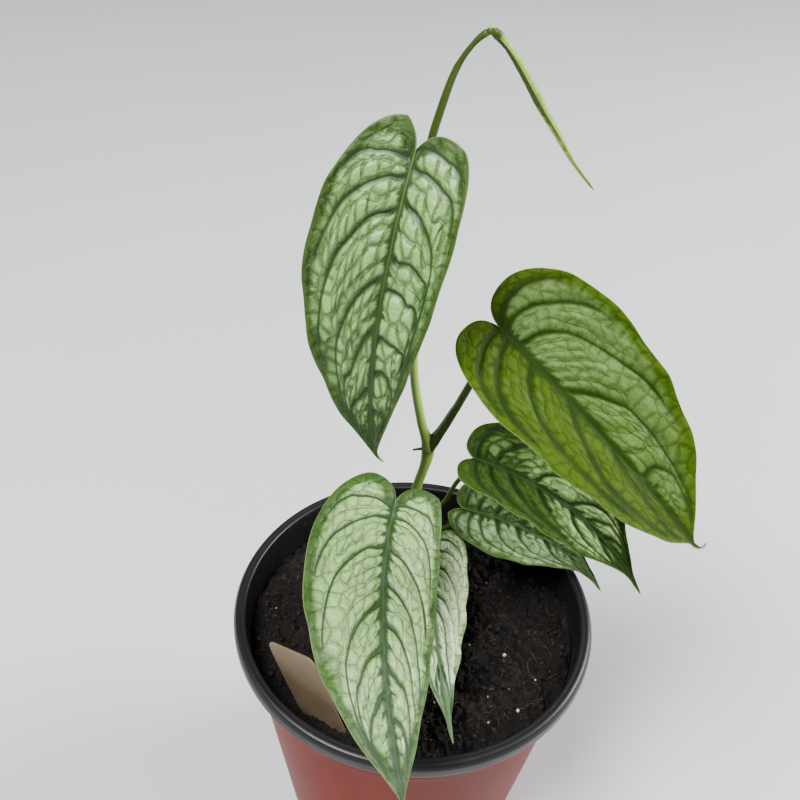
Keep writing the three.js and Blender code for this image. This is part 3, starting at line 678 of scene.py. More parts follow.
def add_veins(leaf, side, half, rows):
    """Adds the veins of a half blade. Each side vein is a line through its table's places, and every
    point gets its distance to the nearest one. The fine count grows by one from each fine vein to the
    next and is whole on the side veins too: between two side veins it runs evenly, in as many steps
    as their gap in mm allows. Spacing is the mm of flat blade per step: one over the length of the
    count's gradient, which comes from the differences along the grid's rows and columns. Along is the
    mm that a vein has run from the midrib, summed up over the columns."""
    x, y, u, v = half["x"], half["y"], half["u"], half["v"]
    columns = x.shape[1]
    table = np.array(VEINS.get((leaf["number"], side), COMMON_VEINS)) / 1000
    lines = np.stack([np.interp(v[0], np.array(STATIONS) / 1000, row) for row in table])
    lines = np.vstack([np.zeros(columns), lines, np.ones(columns)])
    order = np.arange(len(lines))[:, None]
    lines = np.maximum.accumulate(lines + 0.004 * order, axis=0)
    lines = lines / lines[-1:]
    wander = 0.006 * noise(np.stack(np.broadcast_arrays(v[:1] * 9, 7.0 * order), -1), 17)
    lines[1:-1] += wander[1:-1] * smooth_step(0, 0.1, v[0])

    def over_blade(values):
        """Values on the side veins, straight in between down each column of the grid."""
        values = np.broadcast_to(values, lines.shape)
        return np.stack([np.interp(u[:, j], lines[:, j], values[:, j]) for j in range(columns)], 1)

    def laid(line):
        """A side vein's points on the flat blade."""
        return np.stack([[np.interp(line[j], u[:rows, 0], grid[:rows, j]) for j in range(columns)]
                         for grid in (x, y)], -1)

    middle = int(columns * 0.45)
    down = run_of(np.stack([x[:rows, middle], y[:rows, middle]], -1))
    gaps = np.diff(np.interp(lines[:, middle], u[:rows, 0], down))
    steps = np.maximum(1, np.round(gaps / leaf["vein_spacing"]))
    count = np.concatenate([[0], np.cumsum(steps)])
    shift = 0.42 * noise(np.stack([u * 14, v * 4.5], -1), leaf["number"] + 40)
    shift = shift * smooth_step(0.03, 0.25, v)
    nearest = over_blade(order)
    fine = over_blade(count[:, None]) + shift * np.minimum(1, 4 * np.abs(nearest - np.round(nearest)))
    (xi, xj), (yi, yj), (pi, pj) = (np.gradient(grid) for grid in (x, y, fine))
    area = xi * yj - xj * yi
    area = np.where(np.abs(area) < 1e-6, 1e-6, area)
    slope = np.hypot((pi * yj - pj * yi) / area, (pj * xi - pi * xj) / area)
    half["spacing"] = np.clip(1 / np.maximum(slope, 1e-3), 0.2, 6)
    half["fine"] = fine
    veins = [laid(line) for line in lines]
    short = [vein[v[0] < 0.9] for vein in veins[1:-1]]
    to_vein = near_line(x, y, np.vstack([p[:-1] for p in short]), np.vstack([p[1:] for p in short]))
    half["to_vein"] = to_vein + 1.3 * smooth_step(0.83, 0.92, v)
    half["along"] = over_blade(np.stack([run_of(vein) for vein in veins]))


def blade_rise(leaf, half):
    """How far the blade stands off its midrib's plane: the fold, the camber, the swell of the panels
    between the side veins and of the pads between the fine ones, the waves of the edge, the furrows
    over all veins, and fine quilting."""
    x, u, v, to_vein = half["x"], half["u"], half["v"], half["to_vein"]
    half_width = (leaf["right"][0] + leaf["left"][0]) / 2
    wave_phase = leaf["wave"] + (1.9 if half["sign"] < 0 else 0)
    ends = np.sin(np.pi * np.clip(u, 0, 1)) ** 0.7
    arch = np.sqrt(np.maximum(4 * v * (1 - v), 0))
    swell = PANEL_SWELL * (1 - np.exp(-(to_vein / PANEL_FADE) ** 1.5)) * arch
    wave = v**3 * np.sin(2 * np.pi * EDGE_WAVES * u + wave_phase)
    wave += 0.12 * v**4 * np.sin(2 * np.pi * 2.6 * EDGE_WAVES * u + 2 * wave_phase)
    to_fine = np.abs(half["fine"] - np.round(half["fine"])) * half["spacing"]
    fade = ends * smooth_step(0.02, 0.1, v) * smooth_step(1.0, 0.9, v)
    pads = PAD_RISE * (1 - bump(to_fine, 0, PAD_FADE)) * smooth_step(1.2, 2.6, half["spacing"])
    furrow = -FURROW_DEPTH * bump(to_vein, 0, FURROW_FADE)
    flat = np.stack([x * half["sign"], half["y"]], -1)
    quilt = 0.05 * noise(flat / 1.4, 5) + 0.16 * noise(flat / 2.9, 6)
    return (leaf["fold"] * x - leaf["camber"] * x * x / half_width
            + ends * (swell + EDGE_WAVE * wave) + fade * (furrow + pads + quilt - 0.5))


def leaf_blade(leaf, finishes):
    """Blade: the two half grids side by side, once for the upper face and once for the lower, with a
    rounded rim between. The upper face dips beside the midrib and the lower one carries its keel."""
    rows, columns = leaf["grid"]
    halves = [half_blade(leaf, side, rows, columns) for side in ("left", "right")]
    for half, side in zip(halves, ("left", "right")):
        add_veins(leaf, side, half, rows)
        half["rise"] = np.where(half["tail"] > 0, 0, blade_rise(leaf, half))
        outline = np.vstack([
            np.stack([half["x"][0], half["y"][0]], -1),
            np.stack([half["x"][:, -1], half["y"][:, -1]], -1)[::3],
        ])
        half["edge"] = near_line(half["x"], half["y"], outline[:-1], outline[1:])
        half["signed_x"] = half["sign"] * half["x"]

    def whole(key):
        left, right = halves[0][key], halves[1][key]
        middle = (left[:, :1] + right[:, :1]) / 2
        return np.concatenate([left[:, :0:-1], middle, right[:, 1:]], 1)

    x, y, u, v, rise = (whole(key) for key in ("signed_x", "y", "u", "v", "rise"))
    total_rows, across_count = x.shape
    _, across, face = (a.reshape(x.shape + (3,)) for a in blade_axes(leaf, y.ravel()))
    middle = midrib(leaf, y.ravel()).reshape(x.shape + (3,))
    middle = middle + across * x[..., None] + face * rise[..., None]
    taper = np.clip(1 - u, 0, 1)
    rib = RIB_RISE * bump(x, 0, RIB_FADE) - RIB_DIP * bump(x, 0, DIP_FADE)
    rib = rib * smooth_step(0, 0.04, u) * (0.25 + 0.75 * taper)
    upper = middle + face * (UPPER_FACE + rib)[..., None]
    thick = EDGE_THICKNESS + (BLADE_THICKNESS - EDGE_THICKNESS) * smooth_step(1.0, 0.9, v)
    keel = KEEL_DEPTH * np.minimum(1, 5 * u + 0.25) * (1 - 0.85 * u) * bump(x, 0, KEEL_FADE)
    lower = middle + face * (UPPER_FACE - thick - keel)[..., None]
    end_y = np.array([leaf["length"] + leaf["drip"]])
    tip = midrib(leaf, end_y) + blade_axes(leaf, end_y)[2] * (UPPER_FACE - 0.1)

    n = total_rows * across_count
    at = np.arange(n).reshape(total_rows, across_count)
    ring = np.concatenate([at[0, :-1], at[:-1, -1], at[-1, ::-1], at[-2:0:-1, 0]])
    inner = np.concatenate([at[1, :-1], at[:-1, -2], at[-2, ::-1], at[-2:0:-1, 1]])
    top, low = upper.reshape(-1, 3), lower.reshape(-1, 3)
    rim = (top[ring] + low[ring]) / 2 + unit(top[ring] - top[inner]) * 0.12
    rim[np.isin(ring, at[-1])] = tip
    points = np.concatenate([top, low, rim])
    sheet = grid_faces(total_rows, across_count)
    after = np.roll(np.arange(len(ring)), -1)
    rim_at = 2 * n + np.arange(len(ring))
    band_up = np.stack([ring, rim_at, rim_at[after], ring[after]], -1)
    band_low = np.stack([rim_at, ring + n, ring[after] + n, rim_at[after]], -1)
    faces = [sheet, sheet[:, ::-1] + n, band_up, band_low]

    def both(values):
        values = values.reshape(n, -1)
        return np.concatenate([values, values, values[ring]])

    attributes = {
        "flat": both(np.stack([x, y, v], -1)),
        "veins": both(np.stack([whole("fine"), whole("spacing"), whole("to_vein")], -1)),
        "places": both(np.stack([np.abs(x), whole("edge"), u], -1)),
        "along": both(whole("along"))[:, 0],
    }
    patches = np.concatenate([np.full(len(f), k) for f, k in zip(faces, (0, 1, 0, 0))])
    name = f"leaf_{leaf['number']}"
    return piece(f"{name}_blade", points, faces, finishes, name, [name], attributes, patches)


class Veins:
    """Distances in mm on a blade that both its faces' finishes share: to the midrib, the edge, the side
    veins, the fine veins, the net between them, which is drawn out along them inside the blade and
    even where they crowd, and a finer net over all."""

    def __init__(self, f):
        self.flat = f.attribute("flat")
        x, y, self.v = self.flat.parts()
        self.fine, self.spacing, self.to_vein = f.attribute("veins").parts()
        self.from_rib, self.from_edge, self.u = f.attribute("places").parts()
        self.right = x.step(-0.6, 0.6)
        self.grain = f.clouds(self.flat, 1.6)
        self.broad = f.clouds(self.flat, 0.14, 2.0)
        self.spots = f.clouds(self.flat, 0.5, 2.0)
        along = f.attribute("along", "Fac")
        self.streaks = f.clouds(f.vector(self.fine * 1.7, along * 0.14, self.right * 9.0), 1.0)
        self.to_fine = f.maths("PINGPONG", self.fine + 64.0, 0.5) * self.spacing
        inner = f.vector(self.fine + self.right * 31.0, along / NET_CELL + self.grain * 0.15)
        crowded = f.maths("MAXIMUM", self.v.step(0.72, 0.8), 1.0 - self.spacing.step(2.0, 2.8))
        to_inner = f.cracks(inner, 1.0, 0.75) * self.spacing
        bent = f.vector(x + self.spots * 1.3, y + self.grain * 0.9)
        to_outer = f.cracks(bent, 0.24, 0.95) * OUTER_CELL
        self.to_net = to_inner + crowded * (to_outer - to_inner)
        self.to_mesh = f.cracks(self.flat, 0.9, 0.95)

    def side(self, pair):
        """The first number on the left half of the blade, the second on the right half."""
        return pair[0] + self.right * (pair[1] - pair[0])


def leaf_finish(leaf, look):
    """Upper face: silver patches that stop short of midrib, side veins and edge, with a feathered border,
    over green that is darkest along the veins; fine dark veins and a net over both. The silver gets
    brighter towards the middle of each net cell, partly as a painted highlight."""
    f = Finish(f"leaf_{leaf['number']}_upper", look["shine"])
    w = Veins(f)
    by_fine = 1.0 - w.to_fine.step(0.1, 0.9)
    wedge = 1.0 - w.from_rib.step(0.5, 7.0)
    lobe = 1.0 - w.u.step(0.0, 0.22)
    ragged = w.grain * 0.5 + w.streaks * 0.4
    room = 0.35 + 0.65 * w.spacing.step(0.6, 3.0)
    beside_vein = (w.to_vein + ragged * room - wedge * 0.5 - look["halo"] * room) / room
    beside_vein = beside_vein.step(-0.1, look["soft"])
    beside_rib = w.from_rib + w.streaks * 2.0 + w.grain * 0.8 - by_fine * 0.9 - look["band"]
    beside_rib = beside_rib.step(-0.1, 1.1)
    margin = w.side(look["margin"]) * (0.8 + 0.9 * lobe + 0.6 * w.u.step(0.8, 1.0))
    cells = w.to_mesh.step(0.05, 0.45)
    inside = (w.from_edge + w.spots * 1.2 + w.broad * 3.0 + cells * 0.25 - margin).step(-0.5, 1.4)
    amount = w.side(look["amount"]) + look["tip"] * w.u.step(0.4, 0.8) + w.broad * 0.7 + w.streaks * 0.1
    amount = amount - 0.4 * (1.0 - w.u.step(0.0, 0.12)) - 0.4 * (1.0 - w.from_edge.step(1.0, 8.0))
    amount = amount + look["pads"] * 0.5 * w.to_net.step(0.2, 1.5)
    silver = beside_vein * beside_rib * inside * amount.step(0.0, 1.1)
    fine_line = (1.0 - w.to_fine.step(0.06, 0.3)) * (0.7 + w.streaks * 1.2).step(0.1, 0.9)
    fine_line = fine_line * w.v.step(0.86, 0.68) * w.spacing.step(1.8, 2.8)
    net = (1.0 - w.to_net.step(0.06, 0.24)) * (0.75 + w.spots * 1.1 + w.broad * 0.8).step(0.0, 1.0)
    mesh = 1.0 - w.to_mesh.step(0.02, 0.2)
    vein = 1.0 - w.to_vein.step(0.12, 0.4)
    near_rib = 1.0 - (w.from_rib / look["band"] + w.streaks * 0.8).step(0.5, 1.8)
    panel = w.to_vein.step(0.2, 2.6) * (0.45 + 0.55 * w.to_net.step(0.05, 1.1))
    panel = panel * w.from_rib.step(0.3, 3.5)

    dark, green, pale = (colour(look[key]) for key in ("dark", "green", "silver"))
    # A brighter silver, partly the leaf's own mottling and partly a painted sheen
    bright_and_painted_sheen = tuple(min(1.0, c * 1.95 + 0.02) for c in pale[:3]) + (1.0,)
    plain = f.mix((panel * 0.8 + w.spots * 0.5 + w.broad * 0.8 + 0.15).step(0.0, 0.8), dark, green)
    # Painted highlight: pad lightens the silver towards the middle of each net cell; grain and spots are
    # the silver's own mottling
    pad = w.to_net.step(0.1, 1.2) * look["pads"]
    clear = (w.grain * 0.9 + w.spots * 0.6 + pad + 0.5 - look["pads"] * 0.6).step(0.1, 1.0)
    patch = f.mix(clear, pale, bright_and_painted_sheen)
    base = f.mix(silver, plain, patch)
    base = f.mix(mesh * 0.16, base, green)
    base = f.mix(net * look["net"], base, dark)
    base = f.mix(fine_line * look["lines"], base, dark)
    base = f.mix(near_rib * look["lines"], base, dark)
    base = f.mix(vein * (1.0 - w.u.step(0.7, 0.95) * 0.6) * look["lines"], base, dark)
    rib_line = (1.0 - w.from_rib.step(0.06, 0.32)) * (1.0 - w.u.step(0.2, 0.8) * 0.8)
    base = f.mix(rib_line * 0.65, base, look["rib"])
    base = f.mix((1.0 - w.from_edge.step(0.03, 0.2)) * 0.35, base, 0x97A860)
    rough = look["rough"] + (1.0 - silver) * 0.17 + w.grain * 0.14 + net * 0.1
    pads = w.to_net.step(0.0, 1.1) + 0.05 * cells + w.grain * 0.25 - 0.8
    room = w.to_vein.step(0.4, 2.0) * w.from_edge.step(0.3, 2.0) * w.from_rib.step(0.8, 2.5)
    return f.surface(base, rough, look["quilt"] * room * pads)


def underside_finish(leaf, look):
    """Lower face: matt pale green with the veins a little lighter and raised."""
    f = Finish(f"leaf_{leaf['number']}_under", 0.35)
    w = Veins(f)
    veins = f.maths("MAXIMUM", 1.0 - w.to_vein.step(0.15, 0.5), (1.0 - w.to_net.step(0.06, 0.25)) * 0.6)
    veins = f.maths("MAXIMUM", veins, 1.0 - w.from_rib.step(0.5, 1.0))
    base = f.mix((w.grain + 0.5).step(0.2, 0.8), look["green"], look["under"])
    base = f.mix(veins * 0.6, base, 0xA9BC7C)
    return f.surface(base, 0.6 + w.grain * 0.15, veins * 0.15 + w.grain * 0.06)


# ---------------------------------------------------------------- stalks

def smooth_path(route, count):
    """Points at even distances on the centripetal Catmull-Rom curve through a route. Between two points
    it is a cubic; its end slopes come from the steps to the neighbours, each over the root of its
    length. Beyond each end the route goes on by the mirror image of its last step."""
    p = np.array(route, float)
    p = np.vstack([2 * p[0] - p[1], p, 2 * p[-1] - p[-2]])
    gap = np.sqrt(np.linalg.norm(np.diff(p, axis=0), axis=1))[:, None]
    a, b, c = gap[:-2], gap[1:-1], gap[2:]
    p0, p1, p2, p3 = p[:-3], p[1:-2], p[2:-1], p[3:]
    out = ((p1 - p0) / a - (p2 - p0) / (a + b) + (p2 - p1) / b) * b
    into = ((p2 - p1) / b - (p3 - p1) / (b + c) + (p3 - p2) / c) * b
    t = np.linspace(0, 1, 80, endpoint=False)[None, :, None]
    p1, p2, out, into = (q[:, None, :] for q in (p1, p2, out, into))
    curve = p1 + out * t + (3 * (p2 - p1) - 2 * out - into) * t**2 + (2 * (p1 - p2) + out + into) * t**3
    curve = np.vstack([curve.reshape(-1, 3), p[-2]])
    run = run_of(curve)
    even = np.linspace(0, run[-1], count)
    return points_at(even, run, curve), even


def rings_round(path, radii, across, angle):
    """Rings of points round each point of a path, or of many paths: cos(angle) times a normal square to
    the path and to across, plus sin(angle) times the direction square to both, times the radii."""
    along = unit(np.gradient(path, axis=-2))
    normal = unit(np.cross(np.array(across, float), along))
    binormal = np.cross(along, normal)
    c, s = np.cos(angle)[..., None], np.sin(angle)[..., None]
    spoke = normal[..., None, :] * c + binormal[..., None, :] * s
    return path[..., None, :] + spoke * radii[..., None]


def tube(path, radii, across, turn=0.0):
    """Closed tube: rings round the path, turned by turn, in whole turns. Both ends close at a pole."""
    count, sides = radii.shape
    angle = 2 * np.pi * (np.arange(sides)[None, :] / sides + np.broadcast_to(turn, count)[:, None])
    rings = rings_round(path, radii, across, angle)
    points = np.concatenate([rings.reshape(-1, 3), path[:1], path[-1:]])
    return points, ring_faces(count, sides)


def ring_faces(count, sides):
    """Faces of rings with a pole at each end, whose two points come after those of the rings."""
    last = count * sides
    ends = [fan(last, np.arange(sides)[::-1]), fan(last + 1, last - sides + np.arange(sides))]
    return [grid_faces(count, sides, closed=True), *ends]


def around(sides):
    """Angles of a ring's points."""
    return 2 * np.pi * np.arange(sides) / sides


def stalk_tones(brown, pale, dark, path, points):
    """Attribute of a tube's points: shares of brown, pale and dark at each station, with painted light
    and shade on top. The side that faces PAINTED_LIGHT_SIDE keeps its pale share as a painted highlight,
    which the other side loses, and that side gets more dark as painted shade."""
    sides = (len(points) - 2) // len(path)
    spokes = unit(points[:-2].reshape(len(path), sides, 3) - path[:, None, :])
    lit = smooth_step(-0.4, 0.9, spokes @ unit(np.array(PAINTED_LIGHT_SIDE)))
    brown, pale, dark = (np.broadcast_to(tone, len(path))[:, None] + 0 * lit
                         for tone in (brown, pale, dark))
    # Painted highlight and shade: pale only where the side faces the light, dark added where it faces
    # away
    rows = np.stack([brown, pale * lit, dark + 0.8 * (1 - dark) * (1 - lit)], -1)
    return np.concatenate([rows.reshape(-1, 3), rows[0, :1], rows[-1, :1]])


def run_attribute(run, sides, radius):
    """Attribute of a tube's points: their place round it and how far along it they lie, in mm."""
    angle = around(sides)
    ring = np.stack([np.sin(angle), np.cos(angle)], -1) * radius
    grid = np.concatenate([np.broadcast_to(ring, (len(run), sides, 2)),
                           np.broadcast_to(run[:, None, None], (len(run), sides, 1))], -1).reshape(-1, 3)
    return np.concatenate([grid, [[0, 0, run[0]], [0, 0, run[-1]]]])


def stalk_piece(name, slot, node, finish, *tubes):
    """One piece of tubes, each given as its path, run, radii and direction across, its shares of brown,
    pale and dark, and the radius for its run attribute."""
    solids, tones, runs = [], [], []
    for path, run, radii, across, shares, radius in tubes:
        solids.append(tube(path, radii, across))
        tones.append(stalk_tones(*shares, path, solids[-1][0]))
        runs.append(run_attribute(run, radii.shape[1], radius))
    attributes = {"tones": np.concatenate(tones), "run": np.concatenate(runs)}
    piece(name, *joined(*solids), [finish], slot, [node], attributes)


def vine(finish):
    """Vine: a tube whose radius swells at its nodes, with a shallow ring scar under each and faint
    ridges, and one short dead root."""
    stations, sides = 260, 40
    path, run = smooth_path(STEM_ROUTE, stations)
    t = np.linspace(0, 1, stations)
    radius = np.pad(between(STEM_RADII, t), 4, mode="edge")
    radius = np.convolve(radius, np.ones(9) / 9, mode="valid")
    scars = sum(depth * bump(t, place, SCAR_WIDTH) for place, depth in SCARS)
    angle = around(sides)
    ridges = 1 + 0.012 * np.cos(9 * angle)[None, :] + 0.01 * np.cos(4 * angle + 1)[None, :]
    brown = 0.75 * bump(t, 0.594, 0.009) + 0.5 * smooth_step(0.34, 0.2, t)
    # Dark: a painted shadow at the node where leaf 2's petiole sheath leaves, and darker low down
    dark = 0.35 * bump(t, 0.61, 0.03) + 0.3 * smooth_step(0.45, 0.3, t)
    pale = 1.25 * smooth_step(0.36, 0.5, t) * smooth_step(1.0, 0.9, t)
    body = (path, run, (radius - scars)[:, None] * ridges, (0, 1, 0), (brown, pale, dark), 1.7)
    nub_path, nub_run = smooth_path(ROOT_NUB, 24)
    q = np.linspace(0, 1, 24)
    nub_radius = (0.62 - 0.3 * q) * np.sqrt(np.clip(1 - ((q - 0.92) / 0.08).clip(0) ** 2, 0.02, 1))
    nub_radii = nub_radius[:, None] * (1 + 0.12 * np.cos(3 * around(12) + 4)[None, :])
    nub = (nub_path, nub_run, nub_radii, (0, 1, 0), (1.0, 0.0, 0.0), 0.5)
    stalk_piece("vine", "stem", "stem", finish, body, nub)


def petiole(spec, leaf, finish):
    """Petiole: starts inside the vine with a flared foot and two sheath wings that fade out, then runs
    slim and slightly grooved to a swollen knee under the blade, into which it rises."""
    stations, sides = 110, 32
    y = np.array([1.2])
    joint = midrib(leaf, y)[0]
    along, _, face = (a[0] for a in blade_axes(leaf, y))
    end = joint - face * 0.55
    before = joint - face * 3.1 - along * 0.3
    path, run = smooth_path([spec["start"], *spec["through"], before, end], stations)
    t = run / run[-1]
    knee = 1 + 0.22 * bump(run, run[-1] - 4, 3.0) - 0.1 * smooth_step(0.96, 1, t)
    radius = spec["radius"] * between(PETIOLE_FLARE, run) * knee * (1 - 0.08 * t)
    wings = smooth_step(spec["sheath"], spec["sheath"] - 5, run) * smooth_step(1.5, 4, run)
    angle = around(sides)
    ridge = sum(round_bump(angle, a, 0.22) for a in WING_ANGLES)
    groove = round_bump(angle, np.pi, 0.35)
    shape = 1 + 0.28 * wings[:, None] * ridge[None, :] - (0.05 + 0.1 * wings[:, None]) * groove[None, :]
    brown = 0.35 * bump(run, spec["sheath"], 1.2)
    tones = (brown, 0.5 * smooth_step(0.8, 1, t), spec["dark"] * smooth_step(1.0, 0.85, t))
    name = f"petiole_{leaf['number']}"
    stalk_piece(f"{name}_stalk", "petiole", name, finish,
                (path, run, radius[:, None] * shape, spec["across"], tones, spec["radius"]))


def new_stalk(finish):
    """Petiole of the new leaf: sheathed to four fifths of its length, where the sheath ends in a step,
    and bent over at its top into a small pale knee."""
    path, run = smooth_path(NEW_PETIOLE_ROUTE, 220)
    t = run / run[-1]
    angle = around(32)
    seam = round_bump(angle, SEAM_ANGLE, 0.2)
    sheath = smooth_step(0.868, 0.85, t)
    lip = bump(t, 0.858, 0.01)
    lip_side = 0.5 + 0.5 * np.cos(angle - SEAM_ANGLE)
    shape = 1 + sheath[:, None] * (0.12 * seam)[None, :] + 0.05 * lip[:, None] * lip_side
    bend = smooth_step(0.85, 0.88, t) * smooth_step(0.995, 0.98, t)
    dark = 0.9 + 0.06 * bend - 0.3 * smooth_step(0.975, 0.995, t)
    tones = (0.1 * lip, 0.5 + 0.2 * smooth_step(0.97, 0.995, t), dark)
    radii = between(NEW_PETIOLE_RADII, t)[:, None] * shape
    stalk_piece("new_leaf_stalk", "petiole", "new_leaf_petiole", finish,
                (path, run, radii, (0, 1, 0), tones, 1.0))


def rolled_leaf(finish):
    """New leaf: a tube whose section is a spiral, its radius growing by a fixed step in one turn round,
    so that one free edge stands proud. The step winds along the roll and its height wavers. A small
    folded lobe sits over the top."""
    stations, sides = 240, 56
    path, run = smooth_path(NEW_LEAF_ROUTE, stations)
    t = run / run[-1]
    share = np.arange(sides) / sides
    wave = 0.06 * np.sin(run * 1.9) + 0.05 * np.sin(run * 3.7 + 1)
    step = ROLL_STEP + wave * smooth_step(0.0, 0.1, t)
    spiral = 1 + step[:, None] * (share[None, :] - 0.5)
    rolls = 1 + 0.03 * noise(np.stack(np.broadcast_arrays(run[:, None] / 3, share[None, :] * 4), -1), 61)
    radius = between(NEW_LEAF_RADII, t)[:, None] * spiral * rolls
    points, faces = tube(path, radius, (0, 1, 0), ROLL_START + ROLL_TURNS * t)
    wound = np.broadcast_to(share[None, :], (stations, sides)).ravel()
    seam = np.concatenate([wound, [0.5, 0.5]])
    along = np.concatenate([np.repeat(t, sides), [0, 1]])
    lobe_path, lobe_run = smooth_path(LOBE_ROUTE, 40)
    q = lobe_run / lobe_run[-1]
    lobe_radius = LOBE_RADIUS * np.sqrt(np.clip(1 - (2 * q - 1) ** 2, 0.01, 1))
    oval = 1 + 0.18 * np.cos(2 * around(20) + 1)
    lobe = tube(lobe_path, lobe_radius[:, None] * oval[None, :], (0, 1, 0))
    whole = joined((points, faces), lobe)
    roll = np.concatenate([np.stack([seam, along], -1), np.full((len(lobe[0]), 2), (0.06, 0.02))])
    attributes = {"roll": np.concatenate([roll, np.zeros((len(roll), 1))], 1)}
    piece("new_leaf_roll", *whole, [finish], "new_leaf", ["new_leaf"], attributes)


def stalk_finish():
    """Living stalk: green streaked lengthwise, paler, darker or browner where the piece says so; the
    paler and darker shares carry each stalk's painted light and shade.
    """
    f = Finish("stalk", 0.18)
    brown, pale, dark = f.attribute("tones").parts()
    across, also, along = f.attribute("run").parts()
    streaks = f.clouds(f.vector(across, also, along * 0.06), 2.6)
    specks = f.clouds(f.vector(across, also, along), 3.0)
    base = f.mix((streaks + 0.5).step(0.2, 0.8), 0x688A24, 0x80A43C)
    base = f.mix(pale, base, 0xB2D468)
    base = f.mix(dark * 0.92, base, 0x222E04)
    base = f.mix(brown * (0.75 + specks), base, 0x3E2E1C)
    base = f.mix(specks.step(0.12, 0.3) * 0.3, base, 0xB4CC80)
    relief = streaks * 0.12 + specks * 0.05 + brown * specks * 0.3
    return f.surface(base, 0.42 + specks * 0.2, relief)


def roll_finish():
    """Rolled leaf: pale yellow-green with a painted shadow beside its free edge and at its top, and fine
    lengthwise veins.
    """
    f = Finish("rolled_leaf", 0.25)
    around_it, along, _ = f.attribute("roll").parts()
    ripple = f.clouds(f.place(), 420.0)
    veins = f.clouds(f.vector(around_it * 14.0, along * 3.0), 2.0, 2.0)
    broad_part = along.step(0.02, 0.12) * (1.0 - along.step(0.3, 0.6))
    # Painted shadow beside the free edge, widest in the broad part, and at the top
    shadow = 1.0 - (around_it + ripple * 0.3 + along * 0.3 - broad_part * 0.12).step(0.2, 0.34)
    top = (1.0 - (along + ripple * 0.03).step(0.05, 0.09)) * along.step(0.012, 0.03)
    shadow = f.maths("MAXIMUM", shadow, top)
    base = f.mix((veins + 0.5).step(0.2, 0.8), 0x7E9E34, 0xAAC65E)
    base = f.mix(shadow * (0.95 - along * 0.15), base, 0x1E3404)
    base = f.mix(along.step(0.7, 1.0) * 0.7, base, 0x5C7420)
    return f.surface(base, 0.45 + ripple * 0.2, veins * 0.08 + ripple * 0.05)


# ---------------------------------------------------------------- pot, soil and label

def rounded_profile(corners, reach=0.35, steps=4):
    """A line of corners with each one cut by a curve that starts and ends up to reach before and after
    it, and passes it as (1-t)^2 a + 2t(1-t) corner + t^2 b. Returns each point's own corner as well."""
    points, owners = [np.array(corners[0], float)], [0]
    for k in range(1, len(corners) - 1):
        before, here, after = (np.array(corners[k + d], float) for d in (-1, 0, 1))
        back, on = before - here, after - here
        a = here + back * min(0.4, reach / np.linalg.norm(back))
        b = here + on * min(0.4, reach / np.linalg.norm(on))
        for t in np.linspace(0, 1, steps):
            points.append((1 - t) ** 2 * a + 2 * t * (1 - t) * here + t * t * b)
            owners.append(k)
    return np.array(points + [np.array(corners[-1], float)]), np.array(owners + [len(corners) - 1])


def pot(outside, inside):
    """Pot: the rounded profile turned round the Z axis, with long straight walls split into rings, and
    the drainage holes cut through its floor."""
    profile, owners = rounded_profile(POT_PROFILE)
    rows, kept = [], []
    for here, after, owner in zip(profile, profile[1:], owners):
        parts = max(1, int(np.linalg.norm(after - here) / 6))
        rows.append(here + np.arange(parts)[:, None] / parts * (after - here))
        kept.append(np.full(parts, owner))
    line, owner = np.vstack(rows)[1:], np.concatenate(kept)[1:]
    angle = around(POT_SIDES)
    r, z = line[:, :1], line[:, 1:]
    ring = np.stack([r * np.cos(angle), r * np.sin(angle), z + 0 * angle], -1)
    points = np.concatenate([ring.reshape(-1, 3), [[0, 0, 0]], [[0, 0, POT_FLOOR]]])
    black = np.repeat(owner[:-1] >= RIM_STARTS_AT, POT_SIDES)
    patches = np.concatenate([black, np.zeros(POT_SIDES), np.ones(POT_SIDES)])
    faces = ring_faces(len(line), POT_SIDES)
    obj = piece("pot_shell", points, faces, [outside, inside], "pot", ["pot"], None, patches)
    drills = []
    for k in range(DRAIN_HOLES):
        turn = 2 * np.pi * (k + 0.5) / DRAIN_HOLES
        centre = np.array([DRAIN_CIRCLE * math.cos(turn), DRAIN_CIRCLE * math.sin(turn), 0])
        path = centre + np.array([[0, 0, -2.0], [0, 0, 2.0], [0, 0, 6.0]])
        drills.append(tube(path, np.full((3, 32), float(DRAIN_RADIUS)), (0, 1, 0)))
    drill = piece("drill", *joined(*drills), [outside], "pot")
    cut = obj.modifiers.new("holes", "BOOLEAN")
    cut.operation, cut.solver, cut.object = "DIFFERENCE", "EXACT", drill
    graph = bpy.context.evaluated_depsgraph_get()
    mesh = bpy.data.meshes.new_from_object(obj.evaluated_get(graph))
    obj.modifiers.clear()
    obj.data = mesh
    mesh.name = "pot_shell"
    bpy.data.objects.remove(drill)
    mesh.set_sharp_from_angle(angle=math.radians(42))


def soil_height(places):
    """Height of the soil at flat places: long lumps, a mound at the vine, a hollow at the back right and
    one by the label, as in the part's source, then noise at three sizes and crumbs at three sizes."""
    x, y = places[..., 0], places[..., 1]

    def dip(px, py, depth, spread):
        """A round bell of a depth about a place."""
        return depth * np.exp(-((x - px) ** 2 + (y - py) ** 2) / spread**2)

    long = (np.sin(0.21 * x + 1.3) * np.sin(0.24 * y + 0.4) + 0.6 * np.sin(0.43 * x - 0.31 * y + 2.1)
            + 0.4 * np.sin(0.52 * y + 0.37 * x))
    ground = (SOIL_HEIGHT + SOIL_LUMP * long + dip(-5, 30, 1.6, 11)
              - dip(38, 14, 3, 13) - dip(-40, -36, 4.5, 13))
    rough = 0.9 * noise(places / 5.5, 21) + 0.55 * noise(places / 2.3, 22) + 0.3 * noise(places / 1.1, 23)
    wander = places + np.stack([noise(places / 1.7, 24), noise(places / 1.7, 25)], -1) * 0.6
    crumbs = 0.55 * lumps(wander, 3.4, 31) + 0.7 * lumps(wander, 1.7, 41) + 0.6 * lumps(wander, 0.9, 51)
    return ground + rough + crumbs - 1.5


